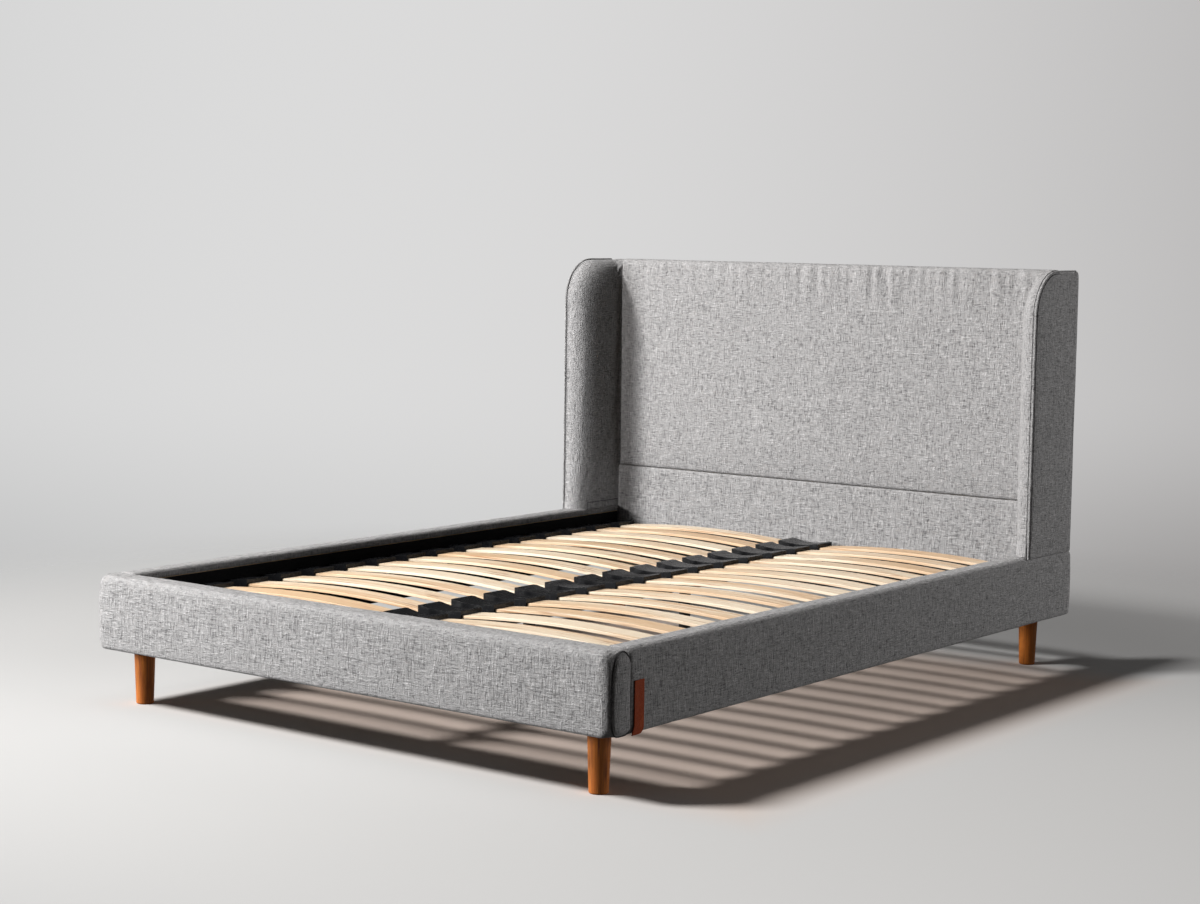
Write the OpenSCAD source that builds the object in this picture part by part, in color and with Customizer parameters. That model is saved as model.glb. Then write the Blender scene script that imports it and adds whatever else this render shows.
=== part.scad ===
// Upholstered double bed with a winged headboard and a sprung slat base.
// Millimetres, +Z up. The origin is on the floor under the middle of the bed, +Y points to the head.

/* [Overall] */
// Width over the padded ends of the footboard
bed_w = 1640; // [1440:10:1840]
// Length from the face of the footboard to the back of the headboard
bed_l = 2160; // [2060:10:2300]
// Height of the headboard above the floor
headboard_h = 1115; // [900:5:1300]
// Clearance under the rails, which is also the height of the legs
underside_z = 142; // [120:1:200]

/* [Padded rails] */
// Height of the side rails and of the footboard
rail_h = 188; // [176:1:220]
// Thickness of a side rail over its padding
rail_t = 64; // [56:1:80]
// Thickness of the footboard over its padding
footboard_t = 75; // [64:1:95]
// How far the padded ends of the footboard stand outside the side rails
end_proud = 6; // [5:0.5:10]
// Foam and fabric on the outer and top faces
pad_t = 12; // [8:1:16]
// Rounding of the outer top edge of the rails
edge_r = 20; // [10:1:24]
// Rounding of the inner top edge of the rails
roll_r = 12; // [6:1:16]
// Rounding of the bottom edge of the rails
hem_r = 8; // [4:1:12]
// Swell of a padded rail face over its height
face_crown = 3; // [1:0.5:4]
// Swell of the footboard's end panels
end_crown = 5; // [2:0.5:7]
// Fabric rolled over onto the inner face, measured down from the top
roll_h = 22; // [16:1:30]
// Thickness of the fabric where it is rolled over or stapled under
fabric_t = 4; // [2:0.5:6]
// Width of the fabric strip that is stapled under a rail
under_w = 24; // [12:1:30]
// Thickness of the black lining on the inner faces
lining_t = 2; // [1:0.5:3]

/* [Headboard] */
// Thickness of the headboard over its padding
headboard_t = 55; // [50:1:75]
// Thickness of the headboard's board
board_t = 30; // [18:1:34]
// Thickness of the back cover
back_t = 3; // [2:0.5:4]
// Height of the sewn seam across the headboard above the floor
seam_z = 458; // [400:1:560]
// Lower edge of the headboard's fabric above the tops of the ledgers
band_drop = 12; // [4:1:30]
// Rounding of the long top edge of the headboard
head_top_r = 18; // [10:1:22]
// Rounding of the headboard's padding beside the wings and along the seam
tuck_r = 9; // [4:1:14]
// Swell of the headboard's upper panel
head_crown = 6; // [2:0.5:8]
// Set back of the lower band behind the upper panel
band_set = 3; // [1:0.5:5]
// Thickness of the bearer behind the slats
bearer_t = 18; // [12:1:24]

/* [Wings] */
// Depth of a wing from its front edge to the back of the bed
wing_d = 260; // [200:5:340]
// Radius of the wing's front top corner
wing_corner_r = 125; // [90:5:150]
// Rounding of the wing's inner front edge
wing_inner_r = 46; // [30:1:50]
// Rounding of the wing's outer front edge, where the piping is sewn
wing_outer_r = 5; // [3:0.5:10]
// Padding on the two faces of a wing
wing_pad = 14; // [8:1:18]
// Padding in front of a wing's board and above it
wing_front_pad = 28; // [20:1:34]
// How far the wing's cover reaches down over the shoulder of the rail
wing_skirt = 9; // [4:1:12]

/* [Slats] */
// Number of slats in each of the two rows
slat_count = 16; // [12:1:17]
// Width of a slat
slat_w = 68; // [50:1:74]
// Thickness of a slat
slat_t = 8; // [6:0.5:10]
// Rise of the bowed slat in its middle
slat_bow = 19; // [10:1:24]
// Corner cut at the ends of a slat
slat_chamfer = 9; // [4:1:14]
// Length of each slat end that is pushed into its cap
slat_in = 50; // [40:1:54]
// Height of the underside of a slat's tips above the tops of the ledgers
slat_seat = 7; // [6:0.5:10]
// Gap between the last slat and the headboard
slat_head_gap = 26; // [16:1:60]
// Gap between the first slat and the footboard
slat_foot_gap = 66; // [20:1:90]

/* [Slat caps] */
// Wall of a moulded cap beside and under the slat
cap_wall = 4.5; // [3:0.5:6]
// Thickness of the flared lip above the slat
cap_lip = 11; // [8:0.5:12]
// Depth of the saddle in the top of a cap
cap_saddle = 7; // [3:0.5:7.5]
// Length of a side cap along the slat
side_cap_l = 80; // [72:1:88]
// Length over both mouths of a centre cap
centre_cap_l = 140; // [128:1:152]
// Corner rounding of a cap seen from above
cap_corner_r = 8; // [4:1:12]
// Depth of the waist in the sides of a centre cap
cap_waist = 5; // [2:0.5:8]
// Radius of the hollow that lets a cap flex under the slat
flex_r = 2; // [1:0.25:2.5]
// Distance of that hollow from the front edge of the cap's foot
flex_in = 6; // [4:0.5:8]
// Clearance between a slat and its pocket
pocket_fit = 0.3; // [0.2:0.1:0.6]
// Radius of the peg under a cap
peg_r = 5; // [3:0.5:6]
// Length of the peg under a cap
peg_l = 12; // [8:1:16]
// Clearance around a peg, a bolt or a stud in its hole
hole_fit = 0.2; // [0.1:0.05:0.4]

/* [Ledgers and centre rail] */
// How far the tops of the ledgers and of the centre rail lie below the top of the rails
deck_drop = 74; // [70:1:90]
// Width of a ledger
ledger_w = 30; // [24:1:40]
// Height of a ledger
ledger_h = 42; // [30:1:46]
// Number of screws in a ledger
ledger_screw_count = 6; // [3:1:8]
// Width of the centre rail
centre_rail_w = 40; // [30:1:50]
// Height of the centre rail
centre_rail_h = 40; // [30:1:50]
// Wall of the centre rail
tube_wall = 2; // [1.5:0.5:3]
// Play around the centre rail in its brackets
rail_play = 0.5; // [0.3:0.1:1]

/* [Brackets and bolts] */
// Plate thickness of the corner brackets and the centre rail brackets
plate_t = 3; // [2:0.5:5]
// Length of each leg of a corner bracket
bracket_leg = 52; // [46:1:60]
// Gap between a corner bracket and the wood above and below it
bracket_gap = 1.5; // [1:0.5:3]
// Distance of the first bolt from the corner
bolt_in = 18; // [16:1:20]
// Distance of the second bolt from the end of the bracket's leg
bolt_end = 12; // [9:1:14]
// Radius of the bolts
bolt_r = 3; // [2:0.5:4]
// Length of a bolt under its head
bolt_l = 26; // [18:1:34]
// Radius of a bolt head
bolt_head_r = 6; // [5:0.5:7]
// Height of a bolt head
bolt_head_h = 3; // [2:0.5:4]
// Depth of the centre rail brackets along the rail
saddle_d = 34; // [24:1:40]
// Height of the centre rail brackets above the underside of the rail
saddle_rise = 32; // [24:1:36]
// Width of the screw flange on each side of a centre rail bracket
saddle_flange = 20; // [16:1:28]
// Side of the corner blocks
block_side = 92; // [84:1:100]
// Height of the corner blocks
block_h = 34; // [30:1:38]
// Width of the square ends of a corner block, beside its slanted face
block_end = 34; // [28:1:44]

/* [Legs] */
// Radius of a wooden leg at its top
leg_top_r = 27; // [24:0.5:32]
// Radius of a wooden leg at its foot
leg_foot_r = 22; // [16:0.5:23]
// Rounding of the foot of a leg
leg_foot_round = 3; // [1:0.5:5]
// Distance of a leg's axis from the side of the bed
leg_side_in = 95; // [92:1:115]
// Distance of a front leg's axis from the face of the footboard
leg_foot_in = 85; // [84:1:105]
// Distance of a back leg's axis from the back of the headboard
leg_head_in = 75; // [70:1:105]
// Radius of the threaded stud in the top of a leg
stud_r = 4; // [3:0.5:5]
// Length of the stud in the leg, and again in the corner block
stud_reach = 28; // [20:1:29]

/* [Centre legs] */
// Distance of the two centre legs from the middle of the bed
centre_leg_y = 345; // [250:5:450]
// Radius of a centre leg tube
centre_leg_r = 16; // [14:0.5:20]
// Wall of a centre leg tube
leg_wall = 1.5; // [1:0.5:3]
// Lower end of the centre leg tubes above the floor
centre_leg_z = 30; // [26:1:50]
// Length of the threaded bush welded into the lower end of a centre leg
bush_l = 34; // [28:1:50]
// Side of the flange plate on top of a centre leg
flange_side = 72; // [64:1:90]
// Radius of the levelling screw
screw_r = 5; // [4:0.5:6]
// Running clearance of the levelling screw
screw_fit = 0.08; // [0.05:0.01:0.1]
// Reach of the levelling screw above the lower end of the leg
screw_in = 32; // [24:1:40]
// Radius of the levelling foot's pad
foot_pad_r = 22; // [18:0.5:26]
// Height of the levelling foot's pad
foot_pad_h = 14; // [12:0.5:16]
// Height of the pad's straight rim
foot_rim_h = 4; // [3:0.5:5]
// Radius of the hexagon on the levelling screw, over its corners
hex_r = 11.2; // [9:0.2:13]
// Height of the hexagon on the levelling screw
hex_h = 6; // [4:0.5:8]
// Gap between the hexagon and the leg when the screw is turned fully in
hex_gap = 0.3; // [0.2:0.1:1]

/* [Leather tab] */
// Width of the leather tab
tab_w = 34; // [28:1:44]
// Top of the leather tab below the top of the rail
tab_drop = 72; // [50:1:100]
// Thickness of the leather
tab_t = 2.5; // [1.5:0.5:4]
// Length of leather tucked under the rail
tab_under = 20; // [14:1:24]
// Corner radius of the tab's free edge
tab_corner_r = 20; // [8:1:24]

/* [Hidden] */
$fn = 96;
// Facets of the long shallow arcs, which only the preview uses
arc_fn = 720;
// Flats that follow the swell of a headboard panel
crown_steps = 24;
// Overrun that makes a cut pass cleanly through a face
cut = 1;
// Gap left between a cover and the rounded cover under it
seat_gap = 0.3;
// Places of the wing studs, as shares of the way up the straight part of a wing
wing_stud_shares = [0.12, 0.5, 0.88];
// Places of the screws in a centre rail bracket, as shares of its height
saddle_screw_shares = [0.3, 0.75];

half_w = bed_w / 2;
foot_y = -bed_l / 2;
head_y = bed_l / 2;
rail_x = half_w - end_proud;
well_x = rail_x - rail_t;
core_x = well_x + fabric_t;
well_foot_y = foot_y + footboard_t;
well_head_y = head_y - headboard_t;
well_l = well_head_y - well_foot_y;
rail_top_z = underside_z + rail_h;
core_foot_y = well_foot_y - fabric_t;
lining_x = core_x - lining_t;
lining_foot_y = core_foot_y + lining_t;
lining_h = rail_h - roll_h - fabric_t;
footboard_core_x = half_w - end_crown - pad_t;

board_front_y = head_y - back_t - board_t;
board_bottom_z = underside_z + fabric_t;
board_top_z = headboard_h - pad_t;
bearer_front_y = board_front_y - bearer_t;
deck_z = rail_top_z - deck_drop;
band_bottom_z = deck_z + band_drop;
wing_front_y = head_y - wing_d;

ledger_z = deck_z - ledger_h;
block_top_z = underside_z + block_h;
bracket_z = block_top_z + bracket_gap;
bracket_h = ledger_z - block_top_z - 2 * bracket_gap;
bracket_bolt_z = bracket_z + bracket_h / 2;

slat_pitch = (well_l - slat_head_gap - slat_foot_gap - slat_w) / (slat_count - 1);
cap_w = slat_w + 2 * (cap_wall + pocket_fit);
side_cap_x = well_x - lining_t;
side_mouth_x = side_cap_x - side_cap_l;
centre_mouth_x = centre_cap_l / 2;
slat_mid_x = (side_mouth_x + centre_mouth_x) / 2;
slat_l = side_mouth_x - centre_mouth_x + 2 * slat_in;
slat_bow_r = swell_r(slat_l, slat_bow);
slat_tip_z = deck_z + slat_seat;
slat_block_h = slat_bow + 3 * slat_t;
mouth_rise = sqrt(pow(slat_bow_r, 2) - pow(slat_l / 2 - slat_in, 2)) - slat_bow_r + slat_bow;
mouth_floor = slat_seat + mouth_rise - cap_wall;
lip_h = slat_seat + mouth_rise + slat_t + cap_lip;
side_peg_x = lining_x - ledger_w / 2;

leg_x = half_w - leg_side_in;
leg_foot_y = foot_y + leg_foot_in;
leg_head_y = head_y - leg_head_in;
wing_stud_l = wing_pad + 1.5 * stud_reach;
centre_leg_top_z = deck_z - centre_rail_h;
flange_bolt_y = flange_side / 2 - bolt_head_r - plate_t;
hex_z = centre_leg_z - hex_gap - hex_h;
saddle_z = centre_leg_top_z - plate_t;
saddle_h = saddle_rise + plate_t;
saddle_half = centre_rail_w / 2 + rail_play + plate_t;

function slat_y(i) = well_foot_y + slat_foot_gap + slat_w / 2 + i * slat_pitch;
// Place of a ledger screw, always halfway between two slats
function ledger_screw_y(i) =
  slat_y(round(i * (slat_count - 2) / (ledger_screw_count - 1))) + slat_pitch / 2;
// Radius of an arc that rises by rise over span
function swell_r(span, rise) = (span * span / 4 + rise * rise) / (2 * rise);
// Point at a share of the way up a face of height h that swells by rise
function swell_point(h, rise, share) =
  let (r = swell_r(h, rise)) [r - sqrt(r * r - pow(h * (share - 0.5), 2)), h * share];
// Corners of a rectangle of half sizes a and b, with its corners cut off by c
function chamfered(a, b, c) = [
  [a - c, b], [a, b - c], [a, c - b], [a - c, -b],
  [c - a, -b], [-a, c - b], [-a, b - c], [c - a, b]
];

wood = [0.84, 0.71, 0.53];
leg_wood = [0.62, 0.33, 0.14];
board_wood = [0.72, 0.60, 0.43];
cloth = [0.56, 0.55, 0.54];
lining_black = [0.07, 0.07, 0.08];
cap_black = [0.12, 0.12, 0.13];
steel_black = [0.16, 0.16, 0.17];
zinc = [0.66, 0.67, 0.69];
leather = [0.40, 0.19, 0.10];

function slat_name(i) = str("slat_row_", i < 10 ? "0" : "", i);

// Shared shapes

// What a quarter round of radius r takes off the corner at the origin
module corner_waste(r) {
  difference() {
    translate([-cut, -cut]) square(r + cut);
    translate([r, r]) circle(r);
  }
}

// Section of a padded rail: x runs from the outer face inwards and y runs up, grown all round by g
module rail_section(t, g = 0) {
  crown_r = swell_r(rail_h, face_crown);
  intersection() {
    translate([-g, -g]) difference() {
      square([t + 2 * g, rail_h + 2 * g]);
      corner_waste(hem_r + g);
      translate([t + 2 * g, 0]) mirror([1, 0]) corner_waste(fabric_t);
      translate([0, rail_h + 2 * g]) mirror([0, 1]) corner_waste(edge_r + g);
      translate([t + 2 * g, rail_h + 2 * g]) rotate(180) corner_waste(roll_r + g);
    }
    translate([crown_r, rail_h / 2]) circle(crown_r + g, $fn = arc_fn);
  }
}

// Timber inside a padded rail, in the same plane as rail_section
module core_section(t) {
  translate([pad_t, fabric_t]) square([t - pad_t - fabric_t, rail_h - pad_t - fabric_t]);
}

// What the cover leaves open: the inner face under the rolled edge, and the underside
module window_section(t) {
  translate([t - fabric_t, -cut]) square([fabric_t + cut, rail_h - roll_h + cut]);
  translate([pad_t + under_w, -cut]) square([t, fabric_t + cut]);
}

// Runs a section along the left side of the bed, from y0 to y1
module along_left(y0, y1) {
  translate([-rail_x, y1, underside_z]) rotate([90, 0, 0]) linear_extrude(y1 - y0) children();
}

// Runs a section across the foot of the bed, from x0 to x1
module across_foot(x0, x1) {
  translate([x0, foot_y, underside_z]) rotate([90, 0, 90]) linear_extrude(x1 - x0) children();
}

// Draws what is made for the left side, or its mirror image on the right
module on_side(side) {
  if (side < 0) children();
  else mirror([1, 0, 0]) children();
}

// Shank of a bolt along +Y from the origin
module shank(grow = 0) {
  rotate([-90, 0, 0]) cylinder(r = bolt_r + grow, h = bolt_l + grow);
}

// Bolt with its head outside the plate that it holds
module bolt() {
  shank();
  rotate([90, 0, 0]) cylinder(r = bolt_head_r, h = bolt_head_h);
}

// Places its children at the bolts of the four corner brackets, with +Y along the bolt
module at_corner_bolts() {
  for (side = [-1, 1]) {
    for (reach = [bolt_in, bracket_leg - bolt_end]) {
      translate([side * (lining_x - plate_t), lining_foot_y + reach, bracket_bolt_z])
        rotate(-90 * side) children();
      translate([side * (lining_x - plate_t), bearer_front_y - reach, bracket_bolt_z])
        rotate(-90 * side) children();
      translate([side * (lining_x - reach), lining_foot_y + plate_t, bracket_bolt_z])
        rotate(180) children();
      translate([side * (lining_x - reach), bearer_front_y - plate_t, bracket_bolt_z])
        children();
    }
  }
}

// Places its children at the screws of the two centre rail brackets
module at_saddle_screws() {
  for (side = [-1, 1]) {
    for (share = saddle_screw_shares) {
      x = side * (saddle_half + saddle_flange / 2);
      z = saddle_z + share * saddle_h;
      translate([x, lining_foot_y + plate_t, z]) rotate(180) children();
      translate([x, bearer_front_y - plate_t, z]) children();
    }
  }
}

// Places its children at the screws of both ledgers
module at_ledger_screws() {
  for (side = [-1, 1]) {
    for (i = [0:ledger_screw_count - 1]) {
      translate([side * (lining_x - ledger_w), ledger_screw_y(i), ledger_z + ledger_h / 2])
        rotate(-90 * side) children();
    }
  }
}

// Places its children at the studs between the wings and the headboard, with +Y pointing outwards
module at_wing_studs() {
  clear_h = headboard_h - wing_corner_r - rail_top_z;
  for (side = [-1, 1]) {
    for (share = wing_stud_shares) {
      z = rail_top_z + share * clear_h;
      translate([side * (well_x - stud_reach), board_front_y + board_t / 2, z])
        rotate(-90 * side) children();
    }
  }
}

// Threaded stud along +Y that reaches into the headboard's board and into the wing's board
module wing_stud(grow = 0) {
  rotate([-90, 0, 0]) translate([0, 0, -grow])
    cylinder(r = stud_r + grow, h = wing_stud_l + 2 * grow);
}

// Footboard

module footboard_core() {
  color(board_wood)
  difference() {
    across_foot(-footboard_core_x, footboard_core_x) core_section(footboard_t);
    at_corner_bolts() shank(hole_fit);
    at_saddle_screws() shank(hole_fit);
  }
}

// Plan of the footboard, with its two swelling ends
module footboard_plan() {
  end_r = swell_r(footboard_t, end_crown);
  intersection() {
    square([bed_w, footboard_t], center = true);
    union() {
      square([bed_w - 2 * end_r, footboard_t], center = true);
      for (side = [-1, 1]) translate([side * (half_w - end_r), 0]) circle(end_r, $fn = arc_fn);
    }
  }
}

// Padded cover of the footboard, with a swelling panel sewn in at each end
module footboard_cover() {
  color(cloth)
  difference() {
    intersection() {
      across_foot(-half_w, half_w) rail_section(footboard_t);
      translate([0, foot_y + footboard_t / 2, underside_z]) linear_extrude(rail_h)
        footboard_plan();
    }
    across_foot(-footboard_core_x, footboard_core_x) core_section(footboard_t);
    across_foot(-core_x, core_x) window_section(footboard_t);
  }
}

module footboard_lining() {
  color(lining_black)
  difference() {
    translate([-core_x, core_foot_y, underside_z + fabric_t])
      cube([2 * core_x, lining_t, lining_h]);
    at_corner_bolts() shank(hole_fit);
    at_saddle_screws() shank(hole_fit);
  }
}

// Strap of leather sewn into the joint between the footboard and the right side rail
module leather_tab() {
  tab_h = rail_h - tab_drop;
  color(leather)
  intersection() {
    mirror([1, 0, 0]) along_left(well_foot_y, well_foot_y + tab_w) difference() {
      rail_section(rail_t, tab_t);
      rail_section(rail_t, seat_gap);
      translate([tab_under, -tab_t - cut]) square([rail_t, rail_h * 2]);
      translate([-tab_t - cut, tab_h]) square([rail_t * 2, rail_h]);
    }
    translate([well_x, well_foot_y, underside_z - tab_t]) rotate([90, 0, 90])
      linear_extrude(rail_t * 2) difference() {
        square([tab_w, rail_h]);
        translate([tab_w, 0]) mirror([1, 0]) corner_waste(tab_corner_r);
      }
  }
}

// Side rails

module side_rail_core(side) {
  color(board_wood)
  difference() {
    on_side(side) along_left(well_foot_y, head_y - fabric_t) core_section(rail_t);
    at_corner_bolts() shank(hole_fit);
    at_ledger_screws() shank(hole_fit);
  }
}

module side_rail_cover(side) {
  color(cloth)
  on_side(side) difference() {
    along_left(well_foot_y, head_y) rail_section(rail_t);
    along_left(well_foot_y - cut, head_y - fabric_t) core_section(rail_t);
    along_left(well_foot_y - cut, bearer_front_y) window_section(rail_t);
  }
}

module side_rail_lining(side) {
  color(lining_black)
  difference() {
    on_side(side) translate([-core_x, well_foot_y, underside_z + fabric_t])
      cube([lining_t, bearer_front_y - well_foot_y, lining_h]);
    at_corner_bolts() shank(hole_fit);
    at_ledger_screws() shank(hole_fit);
  }
}

// Headboard

module headboard_board() {
  color(board_wood)
  difference() {
    translate([-well_x, board_front_y, board_bottom_z])
      cube([2 * well_x, board_t, board_top_z - board_bottom_z]);
    at_corner_bolts() shank(hole_fit);
    at_saddle_screws() shank(hole_fit);
    at_wing_studs() wing_stud(hole_fit);
  }
}

// Black bearer across the foot of the headboard, behind the slats
module headboard_bearer() {
  color(lining_black)
  difference() {
    translate([-well_x, bearer_front_y, board_bottom_z])
      cube([2 * well_x, bearer_t, band_bottom_z - board_bottom_z]);
    at_corner_bolts() shank(hole_fit);
    at_saddle_screws() shank(hole_fit);
  }
}

// Block that swells towards the foot of the bed: u0 and u1 are its depths behind the front plane
module swelling_panel(u0, u1, z0, z1, crown, top_r, back_r) {
  h = z1 - z0;
  d = u1 - u0;
  front = [for (i = [0:crown_steps]) swell_point(h, crown, i / crown_steps)];
  intersection() {
    translate([-well_x, well_head_y + u0, z0]) rotate([90, 0, 90]) linear_extrude(2 * well_x)
      intersection() {
        difference() {
          square([d, h]);
          corner_waste(tuck_r);
          translate([0, h]) mirror([0, 1]) corner_waste(top_r);
          if (back_r > 0) translate([d, h]) rotate(180) corner_waste(back_r);
        }
        polygon(concat([[d, h], [d, 0]], front));
      }
    translate([0, well_head_y + u0, z0]) linear_extrude(h) difference() {
      translate([-well_x, 0]) square([2 * well_x, d]);
      translate([-well_x, 0]) corner_waste(tuck_r);
      translate([well_x, 0]) mirror([1, 0]) corner_waste(tuck_r);
    }
  }
}

// Upper panel of the headboard, which rolls over the top of the board onto its back
module headboard_upper_pad() {
  color(cloth)
  difference() {
    swelling_panel(0, headboard_t, seam_z, headboard_h, head_crown, head_top_r, pad_t);
    translate([-well_x - cut, board_front_y, seam_z - cut])
      cube([2 * (well_x + cut), board_t, board_top_z - seam_z + cut]);
    translate([-well_x - cut, head_y - back_t, seam_z - cut])
      cube([2 * (well_x + cut), back_t + cut, headboard_h - roll_h - seam_z + cut]);
  }
}

module headboard_lower_band() {
  band_t = board_front_y - well_head_y;
  color(cloth)
  swelling_panel(band_set, band_t, band_bottom_z, seam_z, face_crown, tuck_r, 0);
}

module headboard_back_cover() {
  color(cloth)
  translate([-well_x, head_y - back_t, board_bottom_z])
    cube([2 * well_x, back_t, headboard_h - roll_h - board_bottom_z]);
}

// Wings

// Sweeps a plan outline up the front of the left wing, round its corner and back along its top.
// The outline's x runs outwards from the inner face, and its y runs inwards from the wing's edge.
module wing_sweep(edge_in, base_z, back_y) {
  r = wing_corner_r - edge_in;
  front_y = wing_front_y + edge_in;
  top_z = headboard_h - edge_in;
  translate([-well_x, front_y, base_z]) linear_extrude(top_z - r - base_z)
    intersection() {
      mirror([1, 0]) children();
      translate([-rail_t, 0]) square([rail_t, back_y - front_y]);
    }
  translate([-well_x, front_y + r, top_z - r]) rotate([90, 0, -90]) rotate_extrude(angle = 90)
    intersection() {
      translate([r, 0]) rotate(90) children();
      square([r, rail_t]);
    }
  translate([-well_x, back_y, top_z]) rotate([90, 0, 0]) linear_extrude(back_y - front_y - r)
    intersection() {
      rotate(180) children();
      translate([-rail_t, -r]) square([rail_t, r]);
    }
}

module wing_board_outline() {
  translate([wing_pad, 0]) square([rail_t - 2 * wing_pad, wing_d]);
}

module wing_cover_outline() {
  difference() {
    square([rail_t, wing_d]);
    corner_waste(wing_inner_r);
    translate([rail_t, 0]) mirror([1, 0]) corner_waste(wing_outer_r);
  }
}

module wing_board(side) {
  color(board_wood)
  difference() {
    on_side(side)
      wing_sweep(wing_front_pad, rail_top_z + seat_gap, head_y - fabric_t) wing_board_outline();
    at_wing_studs() wing_stud(hole_fit);
  }
}

// Padded cover of a wing, whose lower edge follows the rounded top of the side rail
module wing_cover(side) {
  color(cloth)
  difference() {
    on_side(side) difference() {
      wing_sweep(0, rail_top_z - wing_skirt, head_y) wing_cover_outline();
      wing_sweep(wing_front_pad, rail_top_z - wing_skirt - cut, head_y - fabric_t)
        wing_board_outline();
      along_left(wing_front_y - cut, head_y + cut) rail_section(rail_t, seat_gap);
    }
    at_wing_studs() wing_stud(hole_fit);
  }
}

module wing_studs() {
  color(zinc) at_wing_studs() wing_stud();
}

// Slat base

module slat_ledger(side) {
  color(lining_black)
  difference() {
    on_side(side) translate([-lining_x, lining_foot_y, ledger_z])
      cube([ledger_w, bearer_front_y - lining_foot_y, ledger_h]);
    for (i = [0:slat_count - 1]) {
      translate([side * side_peg_x, slat_y(i), deck_z - peg_l - cut])
        cylinder(r = peg_r + hole_fit, h = peg_l + 2 * cut);
    }
    at_ledger_screws() shank(hole_fit);
  }
}

module ledger_screws() {
  color(zinc) at_ledger_screws() bolt();
}

// Bowed slat on the right, grown all round by g: the same shape cuts the pockets in the caps
module slat(g = 0) {
  half_l = slat_l / 2 + g;
  translate([slat_mid_x, 0, slat_tip_z]) intersection() {
    translate([0, slat_w / 2 + g, 0]) rotate([90, 0, 0]) linear_extrude(slat_w + 2 * g)
      intersection() {
        translate([0, slat_bow - slat_bow_r]) difference() {
          circle(slat_bow_r + slat_t + g, $fn = arc_fn);
          circle(slat_bow_r - g, $fn = arc_fn);
        }
        translate([-half_l, -slat_t]) square([2 * half_l, slat_block_h]);
      }
    translate([0, 0, -slat_t]) linear_extrude(slat_block_h)
      polygon(chamfered(half_l, slat_w / 2 + g, slat_chamfer));
  }
}

module slat_row(i) {
  color(wood) translate([0, slat_y(i), 0]) {
    slat();
    mirror([1, 0, 0]) slat();
  }
}

// Side view of half a cap: x runs from its middle or closed end out to the mouth, y up from the deck
module cap_section(reach, foot) {
  saddle_r = swell_r(2 * (reach - cap_lip), cap_saddle);
  difference() {
    polygon([[0, 0], [foot, 0], [reach, mouth_floor], [reach, lip_h], [0, lip_h]]);
    translate([0, lip_h + saddle_r - cap_saddle]) circle(saddle_r);
    translate([foot - flex_in, slat_seat / 2]) circle(flex_r);
  }
}

module cap_block(reach, foot) {
  translate([0, cap_w / 2, 0]) rotate([90, 0, 0]) linear_extrude(cap_w)
    cap_section(reach, foot);
}

module peg() {
  translate([0, 0, -peg_l]) cylinder(r = peg_r, h = peg_l + cut);
}

// Moulded cap on the right ledger, open towards the middle of the bed
module side_cap() {
  difference() {
    union() {
      translate([side_cap_x, 0, deck_z]) intersection() {
        mirror([1, 0, 0]) cap_block(side_cap_l, side_cap_x - lining_x + ledger_w);
        linear_extrude(lip_h) difference() {
          translate([-side_cap_l, -cap_w / 2]) square([side_cap_l, cap_w]);
          for (q = [0, 1]) mirror([0, q]) translate([0, -cap_w / 2])
            mirror([1, 0]) corner_waste(cap_corner_r);
        }
      }
      translate([side_peg_x, 0, deck_z]) peg();
    }
    slat(pocket_fit);
  }
}

// Moulded double cap over the centre rail, with a pocket for a slat of each row
module centre_cap() {
  waist_r = swell_r(centre_cap_l / 2, cap_waist);
  difference() {
    union() {
      translate([0, 0, deck_z]) difference() {
        for (q = [0, 1]) mirror([q, 0, 0]) cap_block(centre_mouth_x, centre_rail_w / 2);
        for (q = [-1, 1]) translate([0, q * (cap_w / 2 + waist_r - cap_waist), -cut])
          cylinder(r = waist_r, h = lip_h + 2 * cut);
      }
      translate([0, 0, deck_z]) peg();
    }
    for (q = [0, 1]) mirror([q, 0, 0]) slat(pocket_fit);
  }
}

module side_caps(side) {
  color(cap_black) for (i = [0:slat_count - 1]) {
    translate([0, slat_y(i), 0]) on_side(-side) side_cap();
  }
}

module centre_caps() {
  color(cap_black) for (i = [0:slat_count - 1]) translate([0, slat_y(i), 0]) centre_cap();
}

// Centre rail and its brackets

module centre_rail() {
  y0 = lining_foot_y + plate_t + rail_play;
  y1 = bearer_front_y - plate_t - rail_play;
  color(steel_black)
  difference() {
    translate([-centre_rail_w / 2, y0, centre_leg_top_z])
      cube([centre_rail_w, y1 - y0, centre_rail_h]);
    translate([tube_wall - centre_rail_w / 2, y0 - cut, centre_leg_top_z + tube_wall])
      cube([centre_rail_w - 2 * tube_wall, y1 - y0 + 2 * cut, centre_rail_h - 2 * tube_wall]);
    for (i = [0:slat_count - 1]) {
      translate([0, slat_y(i), deck_z - tube_wall - cut])
        cylinder(r = peg_r + hole_fit, h = tube_wall + 2 * cut);
    }
    at_flange_bolts() shank(hole_fit);
  }
}

// Folded bracket against the plane y = 0, open at the top, that the end of the centre rail drops into
module saddle() {
  difference() {
    union() {
      translate([-saddle_half - saddle_flange, 0, saddle_z])
        cube([2 * (saddle_half + saddle_flange), plate_t, saddle_h]);
      translate([-saddle_half, 0, saddle_z]) cube([2 * saddle_half, saddle_d, saddle_h]);
    }
    translate([plate_t - saddle_half, plate_t, saddle_z + plate_t - seat_gap])
      cube([2 * (saddle_half - plate_t), saddle_d, saddle_h]);
  }
}

module centre_rail_brackets() {
  color(steel_black)
  difference() {
    union() {
      translate([0, lining_foot_y, 0]) saddle();
      translate([0, bearer_front_y, 0]) rotate(180) saddle();
    }
    at_saddle_screws() translate([0, -plate_t - cut, 0]) shank(hole_fit);
  }
}

module centre_rail_screws() {
  color(zinc) {
    at_saddle_screws() bolt();
    at_flange_bolts() bolt();
  }
}

// Corner joints

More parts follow.
